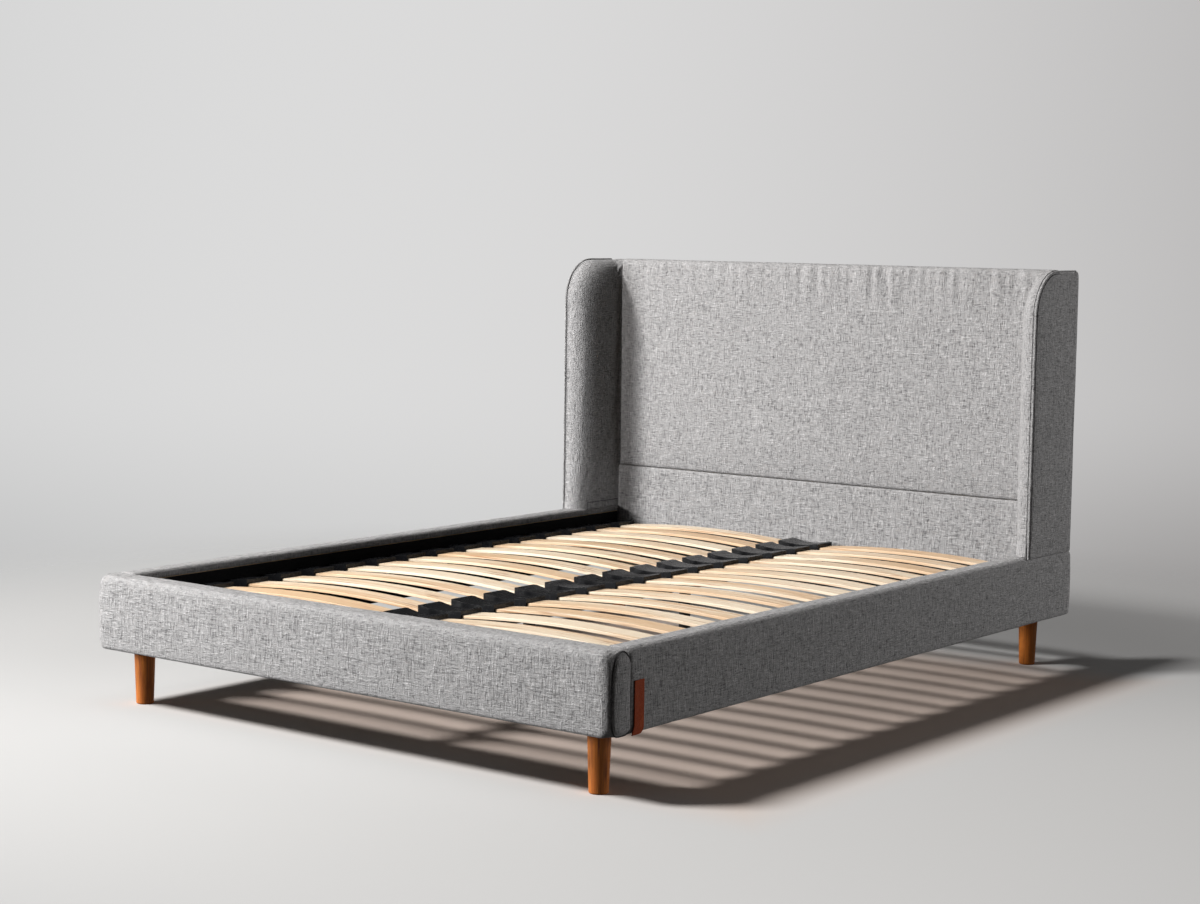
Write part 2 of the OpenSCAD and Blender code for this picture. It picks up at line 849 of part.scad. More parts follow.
// Timber block in the corner between two rails: the corner is at the origin, the block is in +X +Y
module corner_block() {
  linear_extrude(block_h) polygon([
    [0, 0], [block_side, 0], [block_side, block_end], [block_end, block_side], [0, block_side]
  ]);
}

// Steel angle in the same corner, above the block
module corner_bracket() {
  difference() {
    cube([bracket_leg, bracket_leg, bracket_h]);
    translate([plate_t, plate_t, -cut]) cube([bracket_leg, bracket_leg, bracket_h + 2 * cut]);
  }
}

// Places its children in the four corners of the frame
module at_corners(z) {
  for (qx = [0, 1]) mirror([qx, 0, 0]) {
    translate([-lining_x, lining_foot_y, z]) children();
    translate([-lining_x, bearer_front_y, z]) mirror([0, 1, 0]) children();
  }
}

module at_legs(z) {
  for (side = [-1, 1]) {
    for (y = [leg_foot_y, leg_head_y]) translate([side * leg_x, y, z]) children();
  }
}

module corner_blocks() {
  color(board_wood)
  difference() {
    at_corners(underside_z) corner_block();
    at_legs(underside_z - cut)
      cylinder(r = stud_r + hole_fit, h = stud_reach + cut + hole_fit);
  }
}

module corner_brackets() {
  color(zinc)
  difference() {
    at_corners(bracket_z) corner_bracket();
    at_corner_bolts() translate([0, -plate_t - cut, 0]) shank(hole_fit);
  }
}

module corner_bolts() {
  color(zinc) at_corner_bolts() bolt();
}

// Legs

module leg_studs() {
  color(zinc)
  at_legs(underside_z - stud_reach) cylinder(r = stud_r, h = 2 * stud_reach);
}

// Turned wooden leg, tapering to its rounded foot
module leg(side, y) {
  color(leg_wood)
  translate([side * leg_x, y, 0]) difference() {
    rotate_extrude() difference() {
      polygon([[0, 0], [leg_foot_r, 0], [leg_top_r, underside_z], [0, underside_z]]);
      translate([leg_foot_r, 0]) mirror([1, 0]) corner_waste(leg_foot_round);
    }
    translate([0, 0, underside_z - stud_reach - hole_fit])
      cylinder(r = stud_r + hole_fit, h = stud_reach + cut);
  }
}

// Places its children at the bolts between the centre legs and the centre rail, pointing up
module at_flange_bolts() {
  for (leg = [-1, 1]) {
    for (q = [-1, 1]) {
      translate([0, leg * centre_leg_y + q * flange_bolt_y, centre_leg_top_z - plate_t])
        rotate([90, 0, 0]) children();
    }
  }
}

// Steel leg under the centre rail, with its flange and a threaded bush welded into its lower end
module centre_leg(y) {
  tube_h = centre_leg_top_z - centre_leg_z;
  color(steel_black)
  difference() {
    translate([0, y, centre_leg_z]) difference() {
      union() {
        cylinder(r = centre_leg_r, h = tube_h);
        translate([-centre_rail_w / 2, -flange_side / 2, tube_h - plate_t])
          cube([centre_rail_w, flange_side, plate_t]);
      }
      translate([0, 0, bush_l])
        cylinder(r = centre_leg_r - leg_wall, h = tube_h - bush_l - plate_t);
      translate([0, 0, -cut]) cylinder(r = screw_r + screw_fit, h = bush_l + 2 * cut);
    }
    at_flange_bolts() translate([0, -plate_t, 0]) shank(hole_fit);
  }
}

// Levelling screw with its hexagon, turned fully into the leg
module levelling_screw(y) {
  color(zinc) translate([0, y, 0]) {
    translate([0, 0, foot_rim_h + seat_gap])
      cylinder(r = screw_r, h = centre_leg_z + screw_in - foot_rim_h - seat_gap);
    translate([0, 0, hex_z]) cylinder(r = hex_r, h = hex_h, $fn = 6);
  }
}

// Moulded pad of the levelling foot, with the socket that the screw turns in
module levelling_pad(y) {
  collar_r = screw_r + foot_rim_h;
  color(cap_black) translate([0, y, 0]) difference() {
    rotate_extrude() polygon([
      [0, 0], [foot_pad_r, 0], [foot_pad_r, foot_rim_h], [collar_r, foot_pad_h], [0, foot_pad_h]
    ]);
    translate([0, 0, foot_rim_h]) cylinder(r = screw_r + screw_fit, h = foot_pad_h);
  }
}

footboard_core();
footboard_cover();
footboard_lining();
leather_tab();
side_rail_core(-1);  // side_rail_core_left
side_rail_cover(-1);  // side_rail_cover_left
side_rail_lining(-1);  // side_rail_lining_left
side_rail_core(1);  // side_rail_core_right
side_rail_cover(1);  // side_rail_cover_right
side_rail_lining(1);  // side_rail_lining_right
headboard_board();
headboard_bearer();
headboard_upper_pad();
headboard_lower_band();
headboard_back_cover();
wing_board(-1);  // wing_board_left
wing_board(1);  // wing_board_right
wing_cover(-1);  // wing_cover_left
wing_cover(1);  // wing_cover_right
wing_studs();
slat_ledger(-1);  // slat_ledger_left
slat_ledger(1);  // slat_ledger_right
ledger_screws();
centre_rail();
centre_rail_brackets();
centre_rail_screws();
corner_blocks();
corner_brackets();
corner_bolts();
leg_studs();
leg(-1, leg_foot_y);  // leg_front_left
leg(1, leg_foot_y);  // leg_front_right
leg(-1, leg_head_y);  // leg_back_left
leg(1, leg_head_y);  // leg_back_right
centre_leg(-centre_leg_y);  // centre_leg_foot_end
centre_leg(centre_leg_y);  // centre_leg_head_end
levelling_screw(-centre_leg_y);  // levelling_screw_foot_end
levelling_screw(centre_leg_y);  // levelling_screw_head_end
levelling_pad(-centre_leg_y);  // levelling_pad_foot_end
levelling_pad(centre_leg_y);  // levelling_pad_head_end
side_caps(-1);  // side_caps_left
side_caps(1);  // side_caps_right
centre_caps();
for (i = [1:slat_count]) {
  slat_row(i - 1);
}
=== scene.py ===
import math

import bmesh
import bpy
from mathutils import Matrix, Vector, noise


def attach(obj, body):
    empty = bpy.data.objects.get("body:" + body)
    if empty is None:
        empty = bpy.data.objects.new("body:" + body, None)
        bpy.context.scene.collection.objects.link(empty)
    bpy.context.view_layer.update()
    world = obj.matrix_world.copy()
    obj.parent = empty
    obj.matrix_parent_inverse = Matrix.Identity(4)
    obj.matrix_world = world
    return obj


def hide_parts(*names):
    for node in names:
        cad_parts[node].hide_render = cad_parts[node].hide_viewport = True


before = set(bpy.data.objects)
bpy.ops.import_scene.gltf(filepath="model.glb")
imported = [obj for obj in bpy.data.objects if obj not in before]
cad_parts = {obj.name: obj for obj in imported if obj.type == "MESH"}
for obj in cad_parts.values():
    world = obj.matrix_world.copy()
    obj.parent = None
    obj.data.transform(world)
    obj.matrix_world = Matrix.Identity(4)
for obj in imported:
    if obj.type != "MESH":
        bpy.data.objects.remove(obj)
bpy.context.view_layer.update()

# Camera. It stands at standing height off the foot corner on the right, with a short telephoto lens,
# and looks slightly down over the footboard to the headboard.
camera_place = Vector((3.7649, -4.9954, 1.2357))
camera_yaw, camera_pitch, camera_roll = (math.radians(a) for a in (37.315, 5.606, 0.811))
focal_px, frame_px = 2361.3, 1200

ahead = Vector((-math.sin(camera_yaw) * math.cos(camera_pitch),
                math.cos(camera_yaw) * math.cos(camera_pitch), -math.sin(camera_pitch)))
level_right = Vector((math.cos(camera_yaw), math.sin(camera_yaw), 0))
level_up = level_right.cross(ahead)
right = level_right * math.cos(camera_roll) + level_up * math.sin(camera_roll)
up = level_up * math.cos(camera_roll) - level_right * math.sin(camera_roll)
camera_data = bpy.data.cameras.new("camera")
camera_data.sensor_width = 36
camera_data.lens = focal_px / frame_px * camera_data.sensor_width
camera = bpy.data.objects.new("camera", camera_data)
bpy.context.collection.objects.link(camera)
turn = Matrix((right, up, -ahead)).transposed()
camera.matrix_world = Matrix.Translation(camera_place) @ turn.to_4x4()
bpy.context.scene.camera = camera
bpy.context.scene.view_settings.view_transform = "Standard"


# Studio. A seamless sheet of pale paper that melts into the backdrop all round. A round key lamp hangs
# high on the left of the foot end; weaker lamps lift the front, the headboard, the right side and a wing.
def feed(tree, socket, value):
    """Gives a socket a value, or a link from another socket."""
    if isinstance(value, bpy.types.NodeSocket):
        tree.links.new(value, socket)
    else:
        socket.default_value = value


def add_node(tree, kind, sockets=None, **settings):
    """Adds a shader node with its settings, and feeds its named or numbered sockets."""
    made = tree.nodes.new("ShaderNode" + kind)
    for name, value in settings.items():
        setattr(made, name, value)
    for name, value in (sockets or {}).items():
        feed(tree, made.inputs[name], value)
    return made


def maths(tree, operation, *values, clamp=False):
    """Output of a math node over the given values."""
    return add_node(tree, "Math", dict(enumerate(values)), operation=operation, use_clamp=clamp).outputs[0]


def ramped(tree, value, low, high, out_low=0.0, out_high=1.0, smooth=True):
    """Output of a map range node from low..high to out_low..out_high."""
    return add_node(tree, "MapRange", {0: value, 1: low, 2: high, 3: out_low, 4: out_high},
                    interpolation_type="SMOOTHSTEP" if smooth else "LINEAR").outputs[0]


def mixed(tree, factor, a, b, blend="MIX"):
    """Colour output of a mix node."""
    return add_node(tree, "Mix", {0: factor, 6: a, 7: b}, data_type="RGBA", blend_type=blend).outputs[2]


def along(tree, vector, way):
    """How far a vector reaches along a direction."""
    return add_node(tree, "VectorMath", {0: vector, 1: way}, operation="DOT_PRODUCT").outputs["Value"]


floor_reach, floor_full, floor_gone = 12.0, 1.6, 3.5
# Painted light on the paper: a warm peach tint, painted bounce light from the wooden slats, lies in the
# bed's shadow under the bed and just beside it.
bounce_tint_x, bounce_tint_slim, bounce_tint_full, bounce_tint_gone = 0.20, 0.92, 0.72, 1.02
painted_bounce_tint, paper_plain = (0.88, 0.728, 0.640, 1), (0.815, 0.812, 0.808, 1)

floor_mesh = bmesh.new()
bmesh.ops.create_circle(floor_mesh, cap_ends=True, radius=floor_reach, segments=96)
floor_data = bpy.data.meshes.new("studio_floor")
floor_mesh.to_mesh(floor_data)
floor_mesh.free()
floor = bpy.data.objects.new("studio_floor", floor_data)
bpy.context.collection.objects.link(floor)
floor_paper = bpy.data.materials.new("floor_paper")
floor_paper.use_nodes = True
tree = floor_paper.node_tree
paper = tree.nodes["Principled BSDF"]
paper.inputs["Roughness"].default_value = 0.9
paper.inputs["Specular IOR Level"].default_value = 0.1
place = add_node(tree, "TexCoord").outputs["Object"]
radius = add_node(tree, "VectorMath", {0: place}, operation="LENGTH").outputs["Value"]
from_above = maths(tree, "SUBTRACT", 1.0, add_node(tree, "NewGeometry").outputs["Backfacing"])
melted = ramped(tree, radius, floor_full, floor_gone, 1.0, 0.0)
feed(tree, paper.inputs["Alpha"], maths(tree, "MULTIPLY", melted, from_above))
# The painted bounce tint is full within a box round the bed and fades out past its edges.
off_middle = add_node(tree, "VectorMath", {0: place, 1: (bounce_tint_x, 0, 0)}, operation="SUBTRACT").outputs[0]
off_middle = add_node(tree, "VectorMath", {0: off_middle}, operation="ABSOLUTE").outputs[0]
off_middle = add_node(tree, "SeparateXYZ", {0: off_middle}).outputs
from_bed = maths(tree, "MAXIMUM", off_middle["X"], maths(tree, "MULTIPLY", off_middle["Y"], bounce_tint_slim))
paper_colour = mixed(tree, ramped(tree, from_bed, bounce_tint_full, bounce_tint_gone), painted_bounce_tint, paper_plain)
# The paper is also painted with shade and light: darker towards the back left and lighter towards the right.
to_right = add_node(tree, "SeparateXYZ", {0: place}).outputs["X"]
painted_back_left_shade = ramped(tree, along(tree, place, (-0.6, 0.8, 0)), -0.9, 0.5, 1.0, 0.86)
painted_shade_and_light = maths(tree, "ADD", painted_back_left_shade, ramped(tree, to_right, 0.5, 2.0, 0.0, 0.08))
feed(tree, paper.inputs["Base Color"], mixed(tree, 1.0, paper_colour, painted_shade_and_light, blend="MULTIPLY"))
floor.data.materials.append(floor_paper)
floor.visible_diffuse = False

# The backdrop that the camera sees is painted with light and shade: lighter on the left than on the right,
# with a painted shade band along the foot of the wall, deepest on the right behind the bed. All other rays
# see only the fill colour.
wall_left, wall_right = (0.680, 0.680, 0.680, 1), (0.520, 0.512, 0.510, 1)
foot_shade_left, foot_shade_right = (0.530, 0.532, 0.531, 1), (0.300, 0.290, 0.286, 1)
near_left, near_right = (0.600, 0.602, 0.600, 1), (0.560, 0.550, 0.546, 1)
fill_low, fill_high = (0.030, 0.0295, 0.029, 1), (0.150, 0.145, 0.142, 1)
painted_glow_middle, painted_glow_fall = 1.145, 2.42

world = bpy.data.worlds.new("studio")
world.use_nodes = True
bpy.context.scene.world = world
tree = world.node_tree
backdrop = tree.nodes["Background"]
looking = add_node(tree, "TexCoord").outputs["Generated"]
across = along(tree, looking, level_right)
rising = add_node(tree, "SeparateXYZ", {0: looking}).outputs["Z"]
side_to_side = ramped(tree, across, -0.25, 0.25, smooth=False)
wall = mixed(tree, side_to_side, wall_left, wall_right)
shaded_foot_of_wall = mixed(tree, ramped(tree, across, -0.02, 0.25), foot_shade_left, foot_shade_right)
near_floor = mixed(tree, side_to_side, near_left, near_right)
shaded_foot_of_wall = mixed(tree, ramped(tree, rising, -0.27, -0.13), near_floor, shaded_foot_of_wall)
backdrop_colour = mixed(tree, ramped(tree, rising, -0.175, -0.065), shaded_foot_of_wall, wall)
# A painted glow brightens the middle of the backdrop by up to about a seventh.
off_centre = maths(tree, "MULTIPLY", maths(tree, "MULTIPLY", across, across), painted_glow_fall)
painted_glow = maths(tree, "MAXIMUM", maths(tree, "SUBTRACT", painted_glow_middle, off_centre), 1.0)
backdrop_colour = mixed(tree, 1.0, backdrop_colour, painted_glow, blend="MULTIPLY")
seen = add_node(tree, "LightPath").outputs["Is Camera Ray"]
from_behind = ramped(tree, along(tree, looking, (0.55, 0.82, 0.15)), 0.1, 1.0)
fill_colour = mixed(tree, from_behind, fill_low, fill_high)
feed(tree, backdrop.inputs["Color"], mixed(tree, seen, fill_colour, backdrop_colour))


def lit_from(name, place, aim, energy, kind="AREA", **settings):
    """Stands a lamp at a place, turned towards its aim and out of the camera's sight."""
    data = bpy.data.lights.new(name, kind)
    data.energy = energy
    for label, value in settings.items():
        setattr(data, label, value)
    lamp = bpy.data.objects.new(name, data)
    bpy.context.collection.objects.link(lamp)
    place, aim = Vector(place), Vector(aim)
    turn = (aim - place).to_track_quat("-Z", "Y").to_matrix().to_4x4()
    lamp.matrix_world = Matrix.Translation(place) @ turn
    lamp.visible_camera = False
    return lamp


def linked(name, things, state):
    """A light collection of things that are all taken in or all left out."""
    group = bpy.data.collections.new(name)
    for thing in things:
        group.objects.link(thing)
    for row in group.collection_objects:
        row.light_linking.link_state = state
    return group


key_place, key_aim = (-4.10, -4.75, 6.60), (0, 0, 0.1)
key_disk = dict(shape="DISK", size=2.0, color=(1.0, 0.99, 0.975))
key_lamp = lit_from("key_lamp", key_place, key_aim, 820, **key_disk)
front_lamp = lit_from("front_lamp", (-2.9, -3.8, 1.4), (0, 0, 0.5), 180,
                      shape="RECTANGLE", size=1.8, size_y=1.2)
head_lamp = lit_from("headboard_lamp", (-6.0, -4.0, 2.3), (0.10, 1.0, 1.10), 1050, kind="SPOT",
                     shadow_soft_size=0.6, spot_size=math.radians(28), spot_blend=1.0,
                     color=(1.0, 0.970, 0.955))
side_lamp = lit_from("side_lamp", (4.6, 4.4, 2.1), (0.8, 0.5, 0.4), 100, shape="DISK", size=1.6)
wing_lamp = lit_from("wing_lamp", (-0.35, -4.9, 1.6), (-0.75, 0.9, 0.75), 160, shape="DISK", size=1.2)
# Two more lamps in the key lamp's place light the floor alone, so that the bed throws one soft shadow.
floor_lamp = lit_from("floor_lamp", key_place, key_aim, 470, **key_disk)
floor_lamp_over = lit_from("floor_lamp_over", key_place, key_aim, 350, **key_disk)
all_but_floor = linked("all_but_floor", [floor], "EXCLUDE")
floor_only = linked("floor_only", [floor], "INCLUDE")
for lamp, lights in ((key_lamp, all_but_floor), (front_lamp, all_but_floor),
                     (floor_lamp, floor_only), (floor_lamp_over, floor_only)):
    lamp.light_linking.receiver_collection = lights


# Boards. The footboard, rails, headboard and wings are built on planed softwood boards, with blocks
# in the four corners. They are glued and bolted, left bare, and hidden under foam and cloth.
def shader_group(name, inputs, outputs=("Color", "Roughness", "Height")):
    """Starts a node group with named inputs, and returns it with its input and output nodes."""
    group = bpy.data.node_groups.new(name, "ShaderNodeTree")
    kinds = {float: "NodeSocketFloat", tuple: "NodeSocketColor", Vector: "NodeSocketVector"}
    for label, value in inputs.items():
        socket = group.interface.new_socket(label, in_out="INPUT", socket_type=kinds[type(value)])
        socket.default_value = value
    for label in outputs:
        kind = "NodeSocketColor" if label == "Color" else "NodeSocketFloat"
        group.interface.new_socket(label, in_out="OUTPUT", socket_type=kind)
    return (group, add_node(group, "TexCoord"), group.nodes.new("NodeGroupInput"),
            group.nodes.new("NodeGroupOutput"))


def stretched(tree, place, by):
    """Coordinates stretched along the axes."""
    return add_node(tree, "VectorMath", {0: place, 1: by}, operation="MULTIPLY").outputs[0]


def noise_of(tree, place, scale=1.0, detail=2.0, roughness=0.5, distortion=0.0):
    """Value of a noise texture."""
    sockets = {"Vector": place, "Scale": scale, "Detail": detail, "Roughness": roughness,
               "Distortion": distortion}
    return add_node(tree, "TexNoise", sockets).outputs[0]


def finished(name, group, values, relief, **shader):
    """A material whose colour, roughness and relief come from a node group with its own values."""
    material = bpy.data.materials.new(name)
    material.use_nodes = True
    tree = material.node_tree
    skin = tree.nodes["Principled BSDF"]
    pattern = tree.nodes.new("ShaderNodeGroup")
    pattern.node_tree = group
    for label, value in values.items():
        pattern.inputs[label].default_value = value
    feed(tree, skin.inputs["Base Color"], pattern.outputs["Color"])
    feed(tree, skin.inputs["Roughness"], pattern.outputs["Roughness"])
    bump = add_node(tree, "Bump", {"Height": pattern.outputs["Height"], "Distance": relief})
    feed(tree, skin.inputs["Normal"], bump.outputs[0])
    for label, value in shader.items():
        skin.inputs[label.replace("_", " ")].default_value = value
    return material


def refinish(material, *names):
    """Gives the material to whole nodes of the frame."""
    for name in names:
        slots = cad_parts[name].data.materials
        slots.clear()
        slots.append(material)


timber, place, values, made = shader_group("timber", {
    "Stretch": Vector((4.0, 90.0, 90.0)), "Light": (0.8, 0.6, 0.4, 1.0), "Dark": (0.6, 0.4, 0.2, 1.0),
    "Streak": (0.4, 0.2, 0.1, 1.0), "Streaks": 0.4, "Batch": 0.0, "Gloss": 0.5})
along_grain = stretched(timber, place.outputs["Object"], values.outputs["Stretch"])
fibres = noise_of(timber, along_grain, 1.0, 6.0, 0.62, 0.5)
rings = noise_of(timber, along_grain, 0.22, 3.0, 0.5, 1.2)
streaks = ramped(timber, noise_of(timber, along_grain, 0.36, 3.0, 0.55, 0.8), 0.56, 0.72)
fine_grain = stretched(timber, along_grain, (1.0, 5.0, 5.0))
pores = ramped(timber, noise_of(timber, fine_grain, 1.0, 2.0), 0.60, 0.74)
strip_by_strip = stretched(timber, place.outputs["Object"], (1.3, 8.02, 0.0))
strip = maths(timber, "SUBTRACT", noise_of(timber, strip_by_strip, 1.0, 0.0), 0.5)
figure = maths(timber, "ADD", maths(timber, "MULTIPLY", fibres, 0.5), maths(timber, "MULTIPLY", rings, 0.5))
figure = maths(timber, "ADD", figure, maths(timber, "MULTIPLY", strip, values.outputs["Batch"]))
ground = mixed(timber, ramped(timber, figure, 0.36, 0.64), values.outputs["Light"], values.outputs["Dark"])
streak_share = maths(timber, "MULTIPLY", streaks, values.outputs["Streaks"])
streaked = mixed(timber, streak_share, ground, values.outputs["Streak"])
pored = mixed(timber, maths(timber, "MULTIPLY", pores, 0.25), streaked, values.outputs["Streak"])
dullness = maths(timber, "ADD", values.outputs["Gloss"], maths(timber, "MULTIPLY", fibres, 0.18))
feed(timber, made.inputs["Color"], pored)
feed(timber, made.inputs["Roughness"], dullness)
feed(timber, made.inputs["Height"], maths(timber, "SUBTRACT", fibres, pores))

bare_board = dict(Light=(0.62, 0.47, 0.30, 1), Dark=(0.50, 0.35, 0.20, 1), Streak=(0.36, 0.22, 0.11, 1),
                  Gloss=0.55)
boards_along_x = finished("planed_board_across", timber, dict(bare_board, Stretch=(3, 60, 60)), 0.0006)
boards_along_y = finished("planed_board_along", timber, dict(bare_board, Stretch=(60, 3, 60)), 0.0006)
boards_upright = finished("planed_board_upright", timber, dict(bare_board, Stretch=(60, 60, 3)), 0.0006)
refinish(boards_along_x, "corner_blocks")
refinish(boards_along_y, "side_rail_core_left", "side_rail_core_right")


def made_piece(name, bm, material, body="frame", wall=0.0, detail=0, flat=False):
    """Turns a bmesh into a finished piece that rides on a body."""
    bmesh.ops.recalc_face_normals(bm, faces=bm.faces)
    data = bpy.data.meshes.new(name)
    bm.to_mesh(data)
    bm.free()
    if not flat:
        data.shade_smooth()
    piece = bpy.data.objects.new(name, data)
    bpy.context.collection.objects.link(piece)
    data.materials.append(material)
    if wall:
        shell = piece.modifiers.new("wall", "SOLIDIFY")
        shell.thickness, shell.offset = wall, -1.0
    if detail:
        smooth = piece.modifiers.new("smooth", "SUBSURF")
        smooth.levels = smooth.render_levels = detail
    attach(piece, body)
    return piece


def shrunk_copy(name, node, material, fixed, scale):
    """A copy of a board, scaled towards a fixed point so that it stays inside its rounded cover."""
    bm = bmesh.new()
    bm.from_mesh(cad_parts[node].data)
    bmesh.ops.remove_doubles(bm, verts=bm.verts, dist=1e-5)
    bmesh.ops.translate(bm, vec=-Vector(fixed), verts=bm.verts)
    bmesh.ops.scale(bm, vec=scale, verts=bm.verts)
    bmesh.ops.translate(bm, vec=fixed, verts=bm.verts)
    copy = made_piece(name, bm, material, flat=True)
    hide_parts(node)
    return copy


plank_fit, wing_plank_fit = (0.9935, 0.92, 0.998), (0.85, 0.93, 0.981)
shrunk_copy("headboard_plank", "headboard_board", boards_along_x, (0, 1.047, 0.146), plank_fit)
for word, side in (("left", -1), ("right", 1)):
    fixed = (side * 0.788, 1.0755, 0.331)
    shrunk_copy(f"wing_plank_{word}", f"wing_board_{word}", boards_upright, fixed, wing_plank_fit)


# Footboard cover. Woven melange cloth over 12 mm of foam, drawn round the board and stapled inside and
# underneath. Each end is a separate padded panel, sewn in with self piping all round.
bed_half_w, bed_foot_y, bed_head_y = 0.820, -1.080, 1.080
underside_z, rail_top_z, well_x = 0.142, 0.330, 0.750
footboard_t, rail_t = 0.075, 0.064
outer_edge_r, inner_edge_r, hem_r, inner_hem_r = 0.020, 0.012, 0.008, 0.004
roll_z, tack_strip = 0.308, 0.024
cloth_t = 0.0035
face_crown = 0.003
end_crown, corner_r, seam_turn = 0.0072, 0.036, 49.0
arch_y, arch_half_y, arch_up, arch_down = 0.0480, 0.0355, 0.0900, 0.0930
seam_sink, seam_draw = 0.0032, 0.0012
arch_up_power, arch_down_power = 2.3, 4.5
seam_r = 0.0014
footboard_cell, rail_cell, in_plane = 0.012, 0.013, 0.0015
end_rings = (0.95, 0.88, 0.79, 0.68, 0.54, 0.38, 0.20)


def block(x0, x1, y0, y1, z0, z1):
    """A bmesh of a plain block between two corners."""
    bm = bmesh.new()
    bmesh.ops.create_cube(bm, size=1.0)
    bmesh.ops.scale(bm, vec=(x1 - x0, y1 - y0, z1 - z0), verts=bm.verts)
    bmesh.ops.translate(bm, vec=((x0 + x1) / 2, (y0 + y1) / 2, (z0 + z1) / 2), verts=bm.verts)
    return bm


def runs(bm, axis, **at):
    """Edges parallel to an axis, at the given x, y or z."""
    found = []
    for edge in bm.edges:
        a, b = (v.co for v in edge.verts)
        step = [abs(p - q) for p, q in zip(a, b)]
        if step["xyz".index(axis)] < 1e-5 or sum(step) - step["xyz".index(axis)] > 1e-5:
            continue
        if all(abs(a["xyz".index(k)] - v) < 1e-5 for k, v in at.items()):
            found.append(edge)
    return found


def rounded(bm, edges, r, segments):
    """Rounds edges to a radius."""
    bmesh.ops.bevel(bm, geom=edges, offset=r, offset_type="OFFSET", segments=segments, profile=0.5,
                    affect="EDGES", material=-1, clamp_overlap=False)


def cut_up(bm, edges, cuts):
    """Cuts a ladder of faces across."""
    bmesh.ops.subdivide_edges(bm, edges=edges, cuts=cuts, use_grid_fill=True)


def softened(bm, broad=0.0006, fine=0.0003):
    """Moves the points a little, as foam and stretched cloth are never dead flat."""
    for v in bm.verts:
        v.co += v.normal * (broad * noise.noise(v.co * 7.0) + fine * noise.noise(v.co * 26.0))


def cut_across(bm, place, way):
    """Cuts all faces along a plane and takes nothing away."""
    bmesh.ops.bisect_plane(bm, geom=bm.verts[:] + bm.edges[:] + bm.faces[:], plane_co=place, plane_no=way)


def turned_in(d):
    """1 at the end seam and 0 past the rounded corner, along the arc of the cloth round it."""
    left = corner_r * math.sin(math.radians(seam_turn)) - d
    if left <= 0:
        return 0.0
    drawn_in = corner_r - math.sqrt(corner_r ** 2 - left ** 2)
    return drawn_in / (corner_r * (1 - math.cos(math.radians(seam_turn))))


def arched(y, z, share):
    """A point of the footboard's section, drawn by a share towards the arch of the end seam."""
    dy, dz = y - arch_y, z - (underside_z + rail_top_z) / 2
    reach = math.hypot(dy, dz)
    tall, power = (arch_up, arch_up_power) if dz > 0 else (arch_down, arch_down_power)
    arch = (abs(dy / reach / arch_half_y) ** power + abs(dz / reach / tall) ** power) ** (-1 / power)
    grown = (reach + (min(arch, reach) - reach) * share) / reach
    return arch_y + dy * grown, z - dz + dz * grown


weave, place, values, made = shader_group("melange_weave", {
    "Light": (0.66, 0.648, 0.648, 1.0), "Dark": (0.165, 0.162, 0.164, 1.0), "Warm": (0.45, 0.41, 0.395, 1.0),
    "Contrast": 1.0})
spot = place.outputs["Object"]
facing = add_node(weave, "NewGeometry").outputs["True Normal"]
across_axis = add_node(weave, "SeparateXYZ", {0: stretched(weave, facing, facing)}).outputs
total = 0.0
for axis, stretch in enumerate(((52.0, 270.0, 270.0), (270.0, 52.0, 270.0), (270.0, 270.0, 52.0))):
    yarn = noise_of(weave, stretched(weave, spot, stretch), 1.0, 2.0, 0.55)
    pale, dark = ramped(weave, yarn, 0.52, 0.72), ramped(weave, yarn, 0.28, 0.48, 1.0, 0.0)
    thread = maths(weave, "SUBTRACT", pale, dark)
    shown = maths(weave, "SUBTRACT", 1.0, across_axis[axis])
    total = maths(weave, "ADD", total, maths(weave, "MULTIPLY", thread, shown))
speck = maths(weave, "SUBTRACT", noise_of(weave, spot, 800.0, 1.0), 0.5)
cloud = maths(weave, "SUBTRACT", noise_of(weave, spot, 9.0, 3.0), 0.5)
total = maths(weave, "ADD", total, maths(weave, "MULTIPLY", speck, 0.6))
total = maths(weave, "ADD", total, maths(weave, "MULTIPLY", cloud, 0.15))
spread = maths(weave, "MULTIPLY", total, values.outputs["Contrast"])
tone = maths(weave, "ADD", maths(weave, "MULTIPLY", spread, 0.295), 0.5, clamp=True)
melange = mixed(weave, tone, values.outputs["Dark"], values.outputs["Light"])
tufts = noise_of(weave, stretched(weave, spot, (90.0, 90.0, 200.0)), 1.0, 2.0)
warmth = ramped(weave, tufts, 0.54, 0.70, 0.0, 0.3)
feed(weave, made.inputs["Color"], mixed(weave, warmth, melange, values.outputs["Warm"]))
feed(weave, made.inputs["Roughness"], maths(weave, "ADD", 0.9, maths(weave, "MULTIPLY", speck, 0.1)))
feed(weave, made.inputs["Height"], maths(weave, "ADD", total, maths(weave, "MULTIPLY", speck, 1.2)))

grey_cloth = finished("grey_melange_cloth", weave, {}, 0.0009, Sheen_Weight=0.15, Sheen_Roughness=0.5,
                      Specular_IOR_Level=0.15)
# Seams are drawn as thin tubes of this near-black cloth: painted shade that stands for the shadow in each
# seam's groove.
seam_shade_line = finished("painted_seam_shade", weave, dict(
    Light=(0.105, 0.102, 0.102, 1), Dark=(0.030, 0.029, 0.030, 1), Warm=(0.06, 0.055, 0.052, 1)), 0.0003,
    Specular_IOR_Level=0.15)


